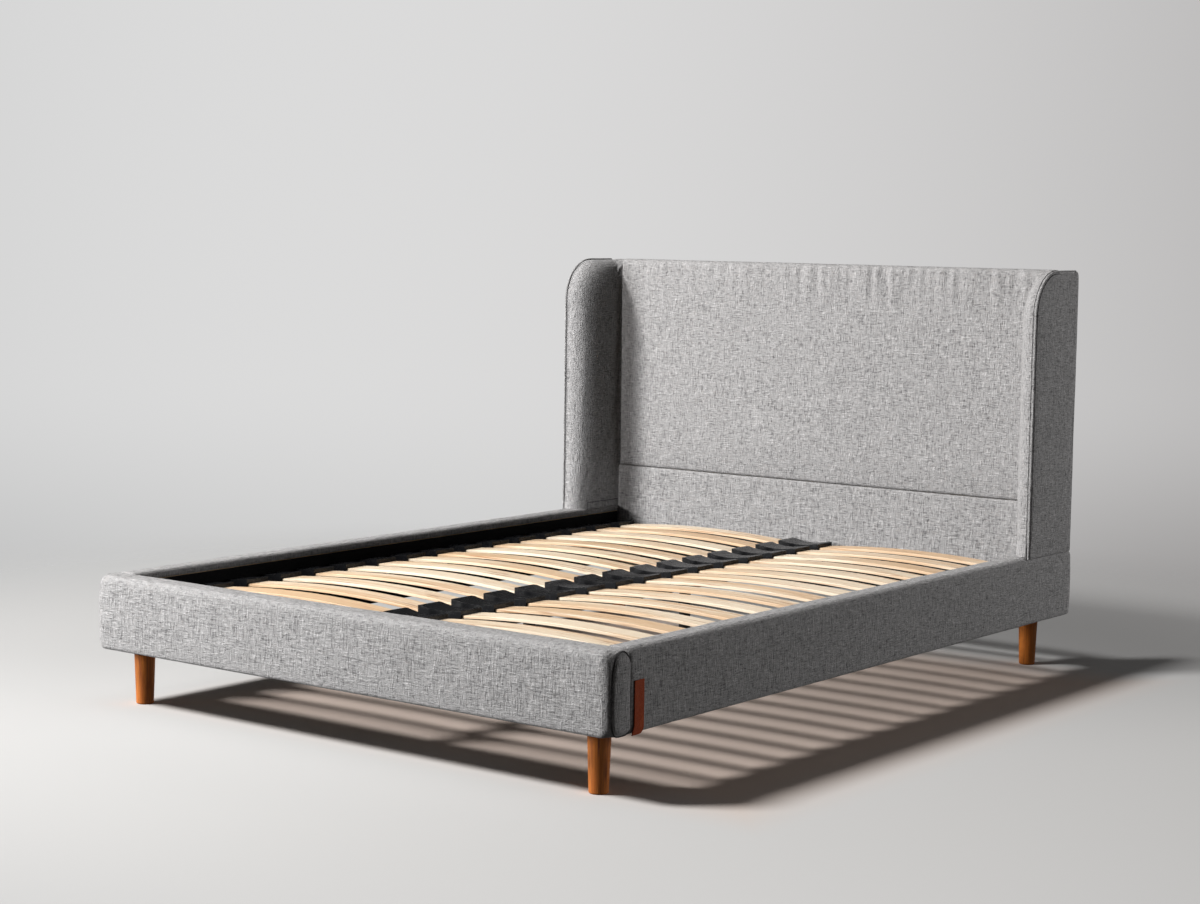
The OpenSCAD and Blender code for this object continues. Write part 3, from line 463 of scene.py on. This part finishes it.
def padded_bar(x0, x1, depth, z0, z1, cell):
    """The cloth of a padded board that lies along X, with its outer face at y = 0."""
    bm = block(x0, x1, 0, depth, z0, z1)
    rounded(bm, runs(bm, "x", y=0, z=z1), outer_edge_r, 7)
    rounded(bm, runs(bm, "x", y=depth, z=z1), inner_edge_r, 5)
    rounded(bm, runs(bm, "x", y=0, z=z0), hem_r, 4)
    rounded(bm, runs(bm, "x", y=depth, z=z0), inner_hem_r, 2)
    for y in (0, depth):
        cut_up(bm, runs(bm, "z", y=y), 22)
    for z in (z0, z1):
        cut_up(bm, runs(bm, "y", z=z), 5)
    cut_up(bm, runs(bm, "x"), round((x1 - x0) / cell))
    return bm


def open_window(bm, x0, x1, depth, z0):
    """Takes out the faces inside the roll and behind the tack strip, where the board has no cloth."""
    inside = []
    for face in bm.faces:
        x, y, z = face.calc_center_median()
        under_roll = y > depth - in_plane and z < roll_z
        behind_tacks = z < z0 + in_plane and y > tack_strip
        in_hem = y > depth - inner_hem_r and z < z0 + inner_hem_r
        if x0 < x < x1 and (under_roll or behind_tacks or in_hem):
            inside.append(face)
    bmesh.ops.delete(bm, geom=inside, context="FACES")


def sewn_line(name, points, closed, material, r):
    """A sewn-in cord, or a seam's thin dark line of painted shade, along a path, as a thin tube."""
    curve = bpy.data.curves.new(name, "CURVE")
    curve.dimensions = "3D"
    line = curve.splines.new("POLY")
    line.points.add(len(points) - 1)
    for p, q in zip(line.points, points):
        p.co = (*q, 1)
    line.use_cyclic_u = closed
    curve.bevel_depth = r
    curve.bevel_resolution = 2
    curve.use_fill_caps = True
    holder = bpy.data.objects.new(name + "_path", curve)
    bpy.context.collection.objects.link(holder)
    data = bpy.data.meshes.new_from_object(holder.evaluated_get(bpy.context.evaluated_depsgraph_get()))
    bpy.data.objects.remove(holder)
    piece = bpy.data.objects.new(name, data)
    data.name = name
    data.shade_smooth()
    data.materials.clear()
    data.materials.append(material)
    bpy.context.collection.objects.link(piece)
    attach(piece, "frame")
    return piece


end_x = bed_half_w - end_crown
height = rail_top_z - underside_z
middle_z = underside_z + height / 2
bm = padded_bar(-end_x, end_x, footboard_t, underside_z, rail_top_z, footboard_cell)
for v in bm.verts:
    share = v.co.x / end_x
    v.co.x = end_x * (0.25 * share + 0.75 * math.sin(share * math.pi / 2))
open_window(bm, -well_x, well_x, footboard_t, underside_z)
seams = []
for v in bm.verts:
    x, y, z = v.co
    up_share = (z - underside_z) / height
    y += max(0.0, 1 - y / 0.02) * face_crown * (2 * up_share - 1) ** 2
    v.co.y, v.co.z = arched(y, z, turned_in(end_x - abs(x)))
softened(bm)
for end in [f for f in bm.faces if abs(abs(f.calc_center_median().x) - end_x) < 1e-3 and len(f.verts) > 8]:
    side = 1 if end.calc_center_median().x > 0 else -1
    seams.append((side, [v.co.copy() for v in end.verts]))
    centre = Vector((side * end_x, arch_y, middle_z))
    for v in end.verts:
        v.co -= (v.co - centre).normalized() * seam_draw
        v.co.x -= side * seam_sink
    now, done = end, 1.0
    for size in end_rings:
        ring = bmesh.ops.extrude_discrete_faces(bm, faces=[now])["faces"][0]
        for v in ring.verts:
            v.co = centre + (v.co - centre) * (size / done)
            v.co.x = side * (end_x + end_crown * (1 - size ** 2) ** 0.5)
        now, done = ring, size
for v in bm.verts:
    v.co.y += bed_foot_y
footboard_cloth = made_piece("footboard_cloth", bm, grey_cloth, wall=cloth_t)
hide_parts("footboard_cover")
# Round each end panel the seam is a thin near-black tube, painted shade in the seam's groove.
for side, ring in seams:
    word = "right" if side > 0 else "left"
    sewn_line(f"footboard_seam_{word}", [p + Vector((-side * seam_r, bed_foot_y, 0)) for p in ring], True,
              seam_shade_line, seam_r)

board_cut_x, board_end_x, board_taper = 0.780, 0.800, (0.55, 0.74)
bm = bmesh.new()
bm.from_mesh(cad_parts["footboard_core"].data)
bmesh.ops.remove_doubles(bm, verts=bm.verts, dist=1e-5)
for side in (-1, 1):
    cut_across(bm, (side * board_cut_x, 0, 0), (1, 0, 0))
for v in bm.verts:
    if abs(v.co.x) > board_end_x:
        v.co.y = bed_foot_y + arch_y + (v.co.y - bed_foot_y - arch_y) * board_taper[0]
        v.co.z = middle_z + (v.co.z - middle_z) * board_taper[1]
board = made_piece("footboard_board", bm, boards_along_x, flat=True)
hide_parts("footboard_core")


# Side rail covers. The same cloth and foam over the two side rails, rolled over the top edge and
# stapled inside; the rails butt against the back of the footboard.
rail_x0, rail_x1, rail_cloth_end = -1.005, bed_head_y, bed_head_y - 0.051
quarter_turn = Matrix(((0, -1, 0, 0), (1, 0, 0, 0), (0, 0, 1, 0), (0, 0, 0, 1)))
for word, side in (("left", -1), ("right", 1)):
    bm = padded_bar(rail_x0, rail_x1, rail_t, underside_z, rail_top_z, rail_cell)
    open_window(bm, rail_x0 - 1, rail_cloth_end, rail_t, underside_z)
    for v in bm.verts:
        up_share = (v.co.z - underside_z) / height
        face = max(0.0, 1 - v.co.y / 0.02)
        v.co.y += face * face_crown * (2 * up_share - 1) ** 2
    bm.normal_update()
    softened(bm)
    # The bar lies along X with its face towards -Y: turned so that it runs along Y and faces the side.
    bmesh.ops.transform(bm, matrix=quarter_turn, verts=bm.verts)
    bmesh.ops.translate(bm, vec=(well_x + rail_t, 0, 0), verts=bm.verts)
    if side < 0:
        bmesh.ops.scale(bm, vec=(-1, 1, 1), verts=bm.verts)
    cover = made_piece(f"side_rail_cloth_{word}", bm, grey_cloth, wall=cloth_t)
    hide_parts(f"side_rail_cover_{word}")


# Linings. Thin black woven lining, stretched flat over the inside of the footboard and of both side
# rails, tucked under the cloth roll at the top and stapled along its edges.
lining_x1, lining_z0, lining_z1 = 0.754, 0.1465, 0.3078
lining_face_y, lining_back_y, rail_lining_y1 = -1.0072, -1.0088, 1.0285
side_lining_y0, side_lining_x0, side_lining_x1 = -1.0048, 0.7522, 0.7538
lining_cell, staple_step = 0.02, 0.09

lining_cloth = finished("black_lining_cloth", weave, dict(
    Light=(0.013, 0.013, 0.0135, 1), Dark=(0.006, 0.006, 0.006, 1), Warm=(0.010, 0.009, 0.009, 1)), 0.0003,
    Specular_IOR_Level=0.1)


def lining(name, corners, axis, way, node):
    """A stretched sheet of lining with a slight slack between its staples."""
    bm = block(*corners)
    length = corners[1] - corners[0] if axis == "x" else corners[3] - corners[2]
    cut_up(bm, runs(bm, axis), round(length / lining_cell))
    cut_up(bm, runs(bm, "z"), 8)
    for v in bm.verts:
        reach = v.co["xyz".index(axis)]
        slack = 0.5 - 0.5 * math.cos(2 * math.pi * reach / staple_step)
        top = max(0.0, (v.co.z - (lining_z1 - 0.03)) / 0.03)
        v.co += Vector(way) * (0.0004 * noise.noise(v.co * 18) - 0.0003 * slack * top)
    sheet = made_piece(name, bm, lining_cloth)
    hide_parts(node)


lining("footboard_lining_cloth", (-lining_x1, lining_x1, lining_back_y, lining_face_y, lining_z0, lining_z1),
       "x", (0, 1, 0), "footboard_lining")
for word, x0, x1, way in (("left", -side_lining_x1, -side_lining_x0, (1, 0, 0)),
                          ("right", side_lining_x0, side_lining_x1, (-1, 0, 0))):
    corners = (x0, x1, side_lining_y0, rail_lining_y1, lining_z0, lining_z1)
    lining(f"side_lining_cloth_{word}", corners, "y", way, f"side_rail_lining_{word}")


# Leather tab. A bare strip of brown leather, folded into the joint between footboard and right rail
# and tucked under the rail; its free lower corner is rounded and its cut edges are burnished.
tab_x0, tab_x1, tab_y0, tab_y1, tab_z0, tab_z1 = 0.8146, 0.8172, -0.9925, -0.9580, 0.1395, 0.258
tab_corner_r, tab_edge_r, tab_splay, tab_bend_z = 0.018, 0.0007, 0.008, tab_z0 + 0.020

hide, place, values, made = shader_group("leather_hide", {
    "Face": (0.46, 0.066, 0.008, 1.0), "Crease": (0.26, 0.033, 0.004, 1.0),
    "Rub": (0.56, 0.105, 0.016, 1.0)})
spot = place.outputs["Object"]
pebbles = add_node(hide, "TexVoronoi", {"Vector": spot, "Scale": 900.0}, feature="DISTANCE_TO_EDGE")
pebble = pebbles.outputs["Distance"]
wrinkle = noise_of(hide, spot, 120.0, 4.0, 0.6)
rub = ramped(hide, noise_of(hide, spot, 45.0, 3.0), 0.50, 0.75)
creased = mixed(hide, ramped(hide, pebble, 0.02, 0.25), values.outputs["Crease"], values.outputs["Face"])
rubbed = mixed(hide, maths(hide, "MULTIPLY", rub, 0.5), creased, values.outputs["Rub"])
relief = maths(hide, "ADD", ramped(hide, pebble, 0.0, 0.3), maths(hide, "MULTIPLY", wrinkle, 0.6))
feed(hide, made.inputs["Color"], rubbed)
feed(hide, made.inputs["Roughness"], ramped(hide, wrinkle, 0.3, 0.7, 0.38, 0.56))
feed(hide, made.inputs["Height"], relief)
tab_leather = finished("brown_leather", hide, {}, 0.0002, Specular_IOR_Level=0.15)

bm = block(tab_x0, tab_x1, tab_y0, tab_y1, tab_z0, tab_z1)
rounded(bm, runs(bm, "x", y=tab_y1, z=tab_z0), tab_corner_r, 8)
rounded(bm, [e for e in bm.edges if all(abs(v.co.x - tab_x1) < 1e-5 for v in e.verts)], tab_edge_r, 3)
cut_across(bm, (0, 0, tab_bend_z), (0, 0, 1))
for v in bm.verts:
    if v.co.y < tab_y0 + 0.002 and v.co.z < tab_z0 + 0.002:
        v.co.y -= tab_splay
leather_tab = made_piece("leather_tab_strip", bm, tab_leather)
leather_tab.modifiers.new("even", "WEIGHTED_NORMAL")
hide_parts("leather_tab")


# Headboard. The upper pad is cloth over thick foam, pulled over the top edge of the board and gathered
# there into fine pleats; a sewn seam joins it to the plain lower band.
pad_x, pad_front_y, seam_z, headboard_z = 0.7492, 1.025, 0.458, 1.115
pad_crown, crown_reach, seam_gap = 0.006, 0.11, 0.0006
pad_face_y = pad_front_y + pad_crown
head_top_r, head_back_r, head_tuck_r, back_roll_z = 0.018, 0.012, 0.009, 1.093
band_front_y, board_front_y, band_z0 = 1.0283, 1.047, 0.2685
back_cloth_y0, back_cloth_z0, back_cut_h = 1.0774, 0.1465, 0.946
pad_rows, pad_columns, band_rows, band_columns, back_rows, back_columns = 84, 200, 24, 150, 38, 60
pleat_depth, pleat_drop = 0.0105, 0.16

bm = block(-pad_x, pad_x, pad_face_y, bed_head_y, seam_z + seam_gap, headboard_z)
rounded(bm, runs(bm, "x", y=pad_face_y, z=headboard_z), head_top_r, 7)
rounded(bm, runs(bm, "x", y=bed_head_y, z=headboard_z), head_back_r, 5)
rounded(bm, [e for e in bm.edges if all(abs(v.co.y - pad_face_y) < 1e-5 for v in e.verts)
             and not all(v.co.z > headboard_z - head_top_r - 1e-4 for v in e.verts)], head_tuck_r, 5)
cut_up(bm, [e for e in runs(bm, "z") if max(v.co.z for v in e.verts) > headboard_z - 0.03], pad_rows)
cut_up(bm, [e for e in runs(bm, "x") if e.calc_length() > 0.5], pad_columns)
# Each pleat: its middle, its width and its depth as a share of the deepest.
pleats = ((-0.30, 0.10, 0.35), (0.02, 0.09, 0.8), (0.20, 0.12, 1.0), (0.43, 0.09, 0.8), (0.62, 0.07, 0.6))
for v in bm.verts:
    x, y, z = v.co
    if y > board_front_y:
        continue
    edge_d = min(pad_x - abs(x), z - seam_z, headboard_z - z)
    rise = pad_crown * (1 - max(0.0, 1 - edge_d / crown_reach) ** 2.2)
    top = max(0.0, 1 - (headboard_z - z) / pleat_drop)
    strength = 0.25 + sum(a * math.exp(-((x - c) / w) ** 2) for c, w, a in pleats)
    fold = noise.noise(Vector((x * 48 + 0.8 * z, z * 3.0, 0.3)))
    fold += 0.5 * noise.noise(Vector((x * 100, z * 4.0, 7.3)))
    at_seam = max(0.0, 1 - (z - seam_z) / 0.05)
    pull = noise.noise(Vector((x * 30, z * 9.0, 3.1)))
    v.co.y -= rise + pleat_depth * fold * strength * top * min(1.0, (headboard_z - z) / 0.02 + 0.3)
    v.co.y += 0.0008 * pull * at_seam
bm.normal_update()
softened(bm, 0.0008, 0.0003)
unclothed = []
for face in bm.faces:
    middle = face.calc_center_median()
    behind_board = middle.y > bed_head_y - 0.003 and middle.z < back_roll_z
    over_board = middle.z < seam_z + 0.001 and middle.y > board_front_y
    if behind_board or over_board:
        unclothed.append(face)
bmesh.ops.delete(bm, geom=unclothed, context="FACES")
upper_pad = made_piece("headboard_upper_cloth", bm, grey_cloth, wall=cloth_t)
upper_pad.visible_diffuse = False
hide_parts("headboard_upper_pad")

bm = block(-pad_x, pad_x, band_front_y, board_front_y - 0.0003, band_z0, seam_z - seam_gap)
rounded(bm, runs(bm, "x", y=band_front_y, z=seam_z - seam_gap), 0.006, 4)
rounded(bm, runs(bm, "x", y=band_front_y, z=band_z0), 0.005, 3)
cut_up(bm, [e for e in runs(bm, "z") if e.calc_length() > 0.1], band_rows)
cut_up(bm, [e for e in runs(bm, "x") if e.calc_length() > 0.5], band_columns)
for v in bm.verts:
    x, y, z = v.co
    if y < board_front_y - 0.004:
        at_seam = max(0.0, 1 - (seam_z - z) / 0.06)
        pull = 0.0009 * at_seam * noise.noise(Vector((x * 28, z * 8.0, 5.0)))
        v.co.y += pull + 0.0005 * noise.noise(v.co * 8)
band = made_piece("headboard_band_cloth", bm, grey_cloth)
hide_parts("headboard_lower_band")

bm = block(-pad_x, pad_x, back_cloth_y0, bed_head_y, back_cloth_z0, back_roll_z - seam_gap)
cut_up(bm, [e for e in runs(bm, "x") if e.calc_length() > 0.5], back_columns)
cut_up(bm, [e for e in runs(bm, "z") if e.calc_length() > 0.5], back_rows)
for v in bm.verts:
    if v.co.y > bed_head_y - 0.001:
        v.co.y -= 0.0006 * (0.5 + 0.5 * noise.noise(v.co * 9))
back_cloth = made_piece("headboard_back_cloth", bm, grey_cloth)
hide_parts("headboard_back_cover")


# Wings. Each wing is a board padded on both faces, in a sewn cover whose inner front edge is full and
# round; the outer front edge is piped. The cover is puffed up by a short cloth simulation.
wing_front_y, wing_corner_r, wing_outer_r, wing_back_r = 0.820, 0.125, 0.006, 0.013
wing_corner_y, wing_corner_z = wing_front_y + wing_corner_r, headboard_z - wing_corner_r
wing_gap, wing_slip, pressed_in = 0.0008, 0.001, 0.012
inner_round_x, inner_round_in, inner_end_y0, inner_end_y1, snap_out = 0.048, 0.078, 1.030, 1.076, 0.88
arc = [(math.cos(a), math.sin(a)) for a in (math.pi * i / 28 for i in range(15))]
wing_skirt_z, wing_grid, wing_puff, wing_pressure, wing_frames = 0.3215, 0.0055, 0.0035, 4.0, 20
hem_z, hem_y0, hem_y1, hem_shade_r = 0.348, 0.868, 1.026, 0.0009
wing_smoothings = 10
cord_r, seam_near_r, seam_far_r, edge_step, top_step = 0.0028, 0.0010, 0.0006, 0.0334, 0.024


def rail_surface(x):
    """Height of the rounded rail top under a wing."""
    out, into = abs(x) - (well_x + rail_t - outer_edge_r), well_x + inner_edge_r - abs(x)
    if out > 0:
        return rail_top_z - outer_edge_r + math.sqrt(max(0.0, outer_edge_r ** 2 - out ** 2))
    if into > 0:
        return rail_top_z - inner_edge_r + math.sqrt(max(0.0, inner_edge_r ** 2 - into ** 2))
    return rail_top_z


def inner_rounding(point):
    """The point moved so that the inner front and top edges of a wing are full and round."""
    u = abs(point.x) - well_x - wing_gap
    dy, dz = point.y - wing_front_y - wing_corner_r, point.z - headboard_z + wing_corner_r
    if dy < 0 < dz:
        reach = math.hypot(dy, dz)
        d, out = wing_corner_r - reach, Vector((0, dy, dz)) / reach
    elif dz > 0:
        d, out = headboard_z - point.z, Vector((0, 0, 1))
    else:
        d, out = point.y - wing_front_y, Vector((0, -1, 0))
    fade = min(1.0, max(0.0, (inner_end_y1 - point.y) / (inner_end_y1 - inner_end_y0)))
    a, b = inner_round_x * fade, inner_round_in * fade
    if u >= a or d >= b:
        return point
    pu, pd = 1 - max(u, 0.0) / a, 1 - max(d, 0.0) / b
    k = max(pu, pd)
    k = (1.0 if k > snap_out else k) / math.hypot(pu, pd)
    return (point + Vector((math.copysign(a * (1 - pu * k) - max(u, 0.0), point.x), 0, 0))
            - out * (b * (1 - pd * k) - max(d, 0.0)))


def on_grid(bm, name, cell):
    """The mesh as an even grid of small faces."""
    data = bpy.data.meshes.new(name)
    bm.to_mesh(data)
    bm.free()
    rough = bpy.data.objects.new(name, data)
    bpy.context.collection.objects.link(rough)
    grid = rough.modifiers.new("grid", "REMESH")
    grid.mode, grid.voxel_size = "VOXEL", cell
    return rough


def frozen(thing):
    """The evaluated mesh of an object, whose rough form is removed."""
    data = bpy.data.meshes.new_from_object(thing.evaluated_get(bpy.context.evaluated_depsgraph_get()))
    bpy.data.objects.remove(thing)
    return data


def puffed(data, held, most):
    """Blows up a closed cover by a cloth simulation, with the held points fixed, by no more than most."""
    start = [v.co.copy() for v in data.vertices]
    cover = bpy.data.objects.new("puffing", data)
    bpy.context.collection.objects.link(cover)
    pins = cover.vertex_groups.new(name="pins")
    pins.add([i for i, p in enumerate(start) if held(p)], 1.0, "REPLACE")
    cloth = cover.modifiers.new("cloth", "CLOTH")
    cloth.settings.use_pressure = True
    cloth.settings.uniform_pressure_force = wing_pressure
    cloth.settings.vertex_group_mass = "pins"
    cloth.settings.effector_weights.gravity = 0
    cloth.point_cache.frame_start, cloth.point_cache.frame_end = 1, wing_frames
    for step in range(1, wing_frames + 1):
        bpy.context.scene.frame_set(step)
    done = frozen(cover)
    for v, p in zip(done.vertices, start):
        move = v.co - p
        if move.length > 1e-9:
            v.co = p + move.normalized() * most * math.tanh(move.length / most)
    bpy.context.scene.frame_set(1)
    return done


def sewn_down(p):
    """True where a wing's cover is sewn, or pressed against the rail, the board or the upper pad."""
    beside_pad = abs(p.x) < well_x + 0.006 and p.y > pad_front_y - 0.01
    return p.y > bed_head_y - pressed_in or p.z < hem_z + 0.003 or beside_pad


def edge_line(side, x, inset, top_points):
    """The way of a cord or seam up a wing's front edge, round its corner and along the top."""
    edge_x, ring_r = side * (well_x + rail_t - x), wing_corner_r - inset
    line = [Vector((edge_x, wing_front_y + inset, wing_skirt_z + 0.004 + i * edge_step)) for i in range(20)]
    line += [Vector((edge_x, wing_corner_y - ring_r * c, wing_corner_z + ring_r * s)) for c, s in arc]
    line += [Vector((edge_x, wing_corner_y + 0.012 + i * top_step, headboard_z - inset))
             for i in range(top_points)]
    return line + [line[-1] + Vector((-side * 0.008, 0.004, -0.012))]


for word, side in (("left", -1), ("right", 1)):
    outer_x, front_y, top_z = well_x + rail_t - wing_slip, wing_front_y + wing_slip, headboard_z - wing_slip
    bm = block(well_x + wing_gap, outer_x, front_y, bed_head_y, wing_skirt_z, top_z)
    rounded(bm, runs(bm, "x", y=front_y, z=top_z), wing_corner_r, 14)
    rounded(bm, runs(bm, "x", y=bed_head_y, z=top_z), wing_back_r, 5)
    rounded(bm, [e for e in bm.edges if all(abs(v.co.x - outer_x) < 1e-5 for v in e.verts)
                 and not all(abs(v.co.y - bed_head_y) < 1e-5 for v in e.verts)
                 and not all(abs(v.co.z - wing_skirt_z) < 1e-5 for v in e.verts)], wing_outer_r, 3)
    if side < 0:
        bmesh.ops.scale(bm, vec=(-1, 1, 1), verts=bm.verts)
        bmesh.ops.reverse_faces(bm, faces=bm.faces)
    bmesh.ops.triangulate(bm, faces=bm.faces)
    cover = frozen(on_grid(bm, f"wing_{word}_rough", wing_grid))
    for v in cover.vertices:
        v.co = inner_rounding(v.co)
    cover = puffed(cover, sewn_down, wing_puff)
    bm = bmesh.new()
    bm.from_mesh(cover)
    bpy.data.meshes.remove(cover)
    roll = [v for v in bm.verts if abs(v.co.x) < well_x + inner_round_x
            and v.co.y < pad_front_y - pressed_in and v.co.z > hem_z]
    for _ in range(wing_smoothings):
        bmesh.ops.smooth_vert(bm, verts=roll, factor=0.5, use_axis_x=True, use_axis_y=True, use_axis_z=True)
    for v in bm.verts:
        v.co.z = max(v.co.z, rail_surface(v.co.x) + 0.0005)
    softened(bm, 0.0007, 0.0003)
    wing = made_piece(f"wing_cloth_{word}", bm, grey_cloth, detail=1)
    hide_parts(f"wing_cover_{word}")
    # Beside the cord and along the hem the seams are thin near-black tubes, painted shade in their grooves;
    # they are thinner on the left wing.
    shade_line_r = seam_far_r if side < 0 else seam_near_r
    sewn_line(f"wing_cord_{word}", edge_line(side, 0.0022, 0.0022, 5), False, grey_cloth, cord_r)
    sewn_line(f"wing_front_seam_{word}", edge_line(side, 0.0088, 0.0007, 1), False, seam_shade_line, shade_line_r)
    sewn_line(f"wing_side_seam_{word}", edge_line(side, 0.0006, 0.0086, 1), False, seam_shade_line, shade_line_r)
    hem = [(hem_y0, rail_top_z - 0.004)] + [(hem_y0 + (hem_y1 - hem_y0) * i / 12, hem_z) for i in range(13)]
    hem = [inner_rounding(Vector((side * (well_x + wing_gap / 2), y, z))) for y, z in hem]
    sewn_line(f"wing_hem_{word}", hem, False, seam_shade_line, hem_shade_r)


# The headboard lamp shines past the left wing, so that the wing throws no shadow on the headboard.
left_parts = ("cloth", "cord", "front_seam", "side_seam", "hem", "plank")
left_wing = [bpy.data.objects[f"wing_{part}_left"] for part in left_parts]
head_lamp.light_linking.blocker_collection = linked("lets_lamps_through", left_wing, "EXCLUDE")
head_lamp.light_linking.receiver_collection = linked("headboard_and_rest", left_wing + [floor], "EXCLUDE")
wing_lamp.light_linking.receiver_collection = linked("left_wing_only", left_wing, "INCLUDE")
# The headboard and wings stand in the way of only one of the floor's two lamps, so that their long
# shadow is fainter than that of the low rails and slats.
tall = [thing for thing in bpy.data.objects
        if thing.type == "MESH" and thing.name.startswith(("headboard_", "wing_"))]
floor_lamp_over.light_linking.blocker_collection = linked("lets_floor_lamp_through", tall, "EXCLUDE")


# Bearer and ledgers. Softwood battens stained black, screwed to the insides of the headboard and the
# side rails, which carry the ends of the slats.
black_wood = finished("black_stained_wood", timber, dict(
    Stretch=(60, 3, 60), Light=(0.016, 0.015, 0.015, 1), Dark=(0.010, 0.0095, 0.0095, 1),
    Streak=(0.006, 0.006, 0.006, 1), Gloss=0.6), 0.0004)
refinish(black_wood, "headboard_bearer", "slat_ledger_left", "slat_ledger_right")


# Fittings. Zinc plated screws, bolts and studs, and pressed steel brackets in the corners; they hold
# the boards, legs, ledgers and centre rail together.
skin, place, values, made = shader_group("plain_skin", {
    "Base": (0.05, 0.05, 0.05, 1.0), "Worn": (0.1, 0.1, 0.1, 1.0), "Grit": 600.0, "Gloss": 0.5,
    "Spread": 0.15})
spot = place.outputs["Object"]
grit = noise_of(skin, spot, values.outputs["Grit"], 2.0)
scuff = ramped(skin, noise_of(skin, spot, 35.0, 5.0, 0.65), 0.52, 0.75)
worn = mixed(skin, maths(skin, "MULTIPLY", scuff, 0.6), values.outputs["Base"], values.outputs["Worn"])
dullness = maths(skin, "MULTIPLY", scuff, values.outputs["Spread"])
feed(skin, made.inputs["Color"], worn)
feed(skin, made.inputs["Roughness"], maths(skin, "ADD", values.outputs["Gloss"], dullness))
feed(skin, made.inputs["Height"], grit)

zinc = finished("bright_zinc", skin, dict(
    Base=(0.62, 0.63, 0.65, 1), Worn=(0.45, 0.46, 0.47, 1), Grit=700.0, Gloss=0.28), 0.00005, Metallic=1.0)
refinish(zinc, "wing_studs", "ledger_screws", "centre_rail_screws", "corner_brackets", "corner_bolts",
         "leg_studs")


# Centre rail and centre legs. Square and round steel tube with welded brackets, powder coated black;
# each leg ends in a zinc levelling screw with a moulded pad.
powder = finished("black_powder_coat", skin, dict(
    Base=(0.02, 0.02, 0.021, 1), Worn=(0.04, 0.04, 0.04, 1), Grit=900.0, Gloss=0.45), 0.0001)
plastic = finished("moulded_black_plastic", skin, dict(
    Base=(0.035, 0.035, 0.037, 1), Worn=(0.06, 0.06, 0.06, 1), Grit=500.0, Gloss=0.5), 0.0001)
refinish(powder, "centre_rail", "centre_rail_brackets", "centre_leg_foot_end", "centre_leg_head_end")
refinish(zinc, "levelling_screw_foot_end", "levelling_screw_head_end")
refinish(plastic, "levelling_pad_foot_end", "levelling_pad_head_end")


# Wooden legs. Turned tapering hardwood, stained a warm brown and oiled, with the sharp edges taken off;
# a stud in the top screws each leg into its corner block.
leg_edge_r = 0.0018


def eased_copy(name, node, material, r, segments, sharp=25.0):
    """A copy of a node with its sharp edges rounded, which stands for the node."""
    bm = bmesh.new()
    bm.from_mesh(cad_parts[node].data)
    bmesh.ops.remove_doubles(bm, verts=bm.verts, dist=1e-5)
    bmesh.ops.dissolve_limit(bm, angle_limit=math.radians(0.2), verts=bm.verts, edges=bm.edges)
    edges = [e for e in bm.edges if len(e.link_faces) == 2 and e.calc_face_angle() > math.radians(sharp)]
    bmesh.ops.bevel(bm, geom=edges, offset=r, offset_type="OFFSET", segments=segments, profile=0.5,
                    affect="EDGES", material=-1, clamp_overlap=True)
    copy = made_piece(name, bm, material)
    copy.data.set_sharp_from_angle(angle=math.radians(50))
    copy.modifiers.new("even", "WEIGHTED_NORMAL").keep_sharp = True
    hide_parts(node)
    return copy


leg_wood = finished("oiled_leg_wood", timber, dict(
    Stretch=(170, 170, 7), Light=(0.74, 0.230, 0.036, 1), Dark=(0.40, 0.105, 0.015, 1),
    Streak=(0.11, 0.025, 0.005, 1), Streaks=1.0, Gloss=0.40), 0.0003, Specular_IOR_Level=0.35)
for corner in ("front_left", "front_right", "back_left", "back_right"):
    eased_copy(f"turned_leg_{corner}", f"leg_{corner}", leg_wood, leg_edge_r, 3)
# The side lamp leaves out the back right leg, so that it stays dark.
side_lamp.light_linking.receiver_collection = linked(
    "sides_and_rest", [floor, bpy.data.objects["turned_leg_back_right"]], "EXCLUDE")


# Slat caps. Moulded black rubber caps that snap over the ends of the slats, with rounded lips and a
# dull, slightly worn surface; single caps sit on the ledgers, double caps over the centre rail.
cap_edge_r = 0.0022

rubber = finished("moulded_black_rubber", skin, dict(
    Base=(0.0085, 0.0088, 0.0100, 1), Worn=(0.022, 0.0225, 0.025, 1), Grit=420.0, Gloss=0.27), 0.0003,
    Specular_IOR_Level=0.22)
for node in ("side_caps_left", "side_caps_right", "centre_caps"):
    eased_copy(node.replace("caps", "slat_caps"), node, rubber, cap_edge_r, 2)


# Slats. Laminated birch strips, pressed into a bow and cut off square with clipped corners, sanded and
# sealed; their long edges are slightly rounded.
slat_edge_r, slat_rows = 0.0013, 16

slat_wood = finished("laminated_birch", timber, dict(
    Stretch=(6, 260, 260), Light=(0.98, 0.825, 0.63, 1), Dark=(0.82, 0.565, 0.345, 1),
    Streak=(0.44, 0.21, 0.085, 1), Streaks=0.95, Batch=0.7, Gloss=0.38), 0.0002)
for row in range(1, slat_rows + 1):
    slats = eased_copy(f"bowed_slats_{row:02d}", f"slat_row_{row:02d}", slat_wood,
                       slat_edge_r, 2)
    slats.visible_diffuse = False
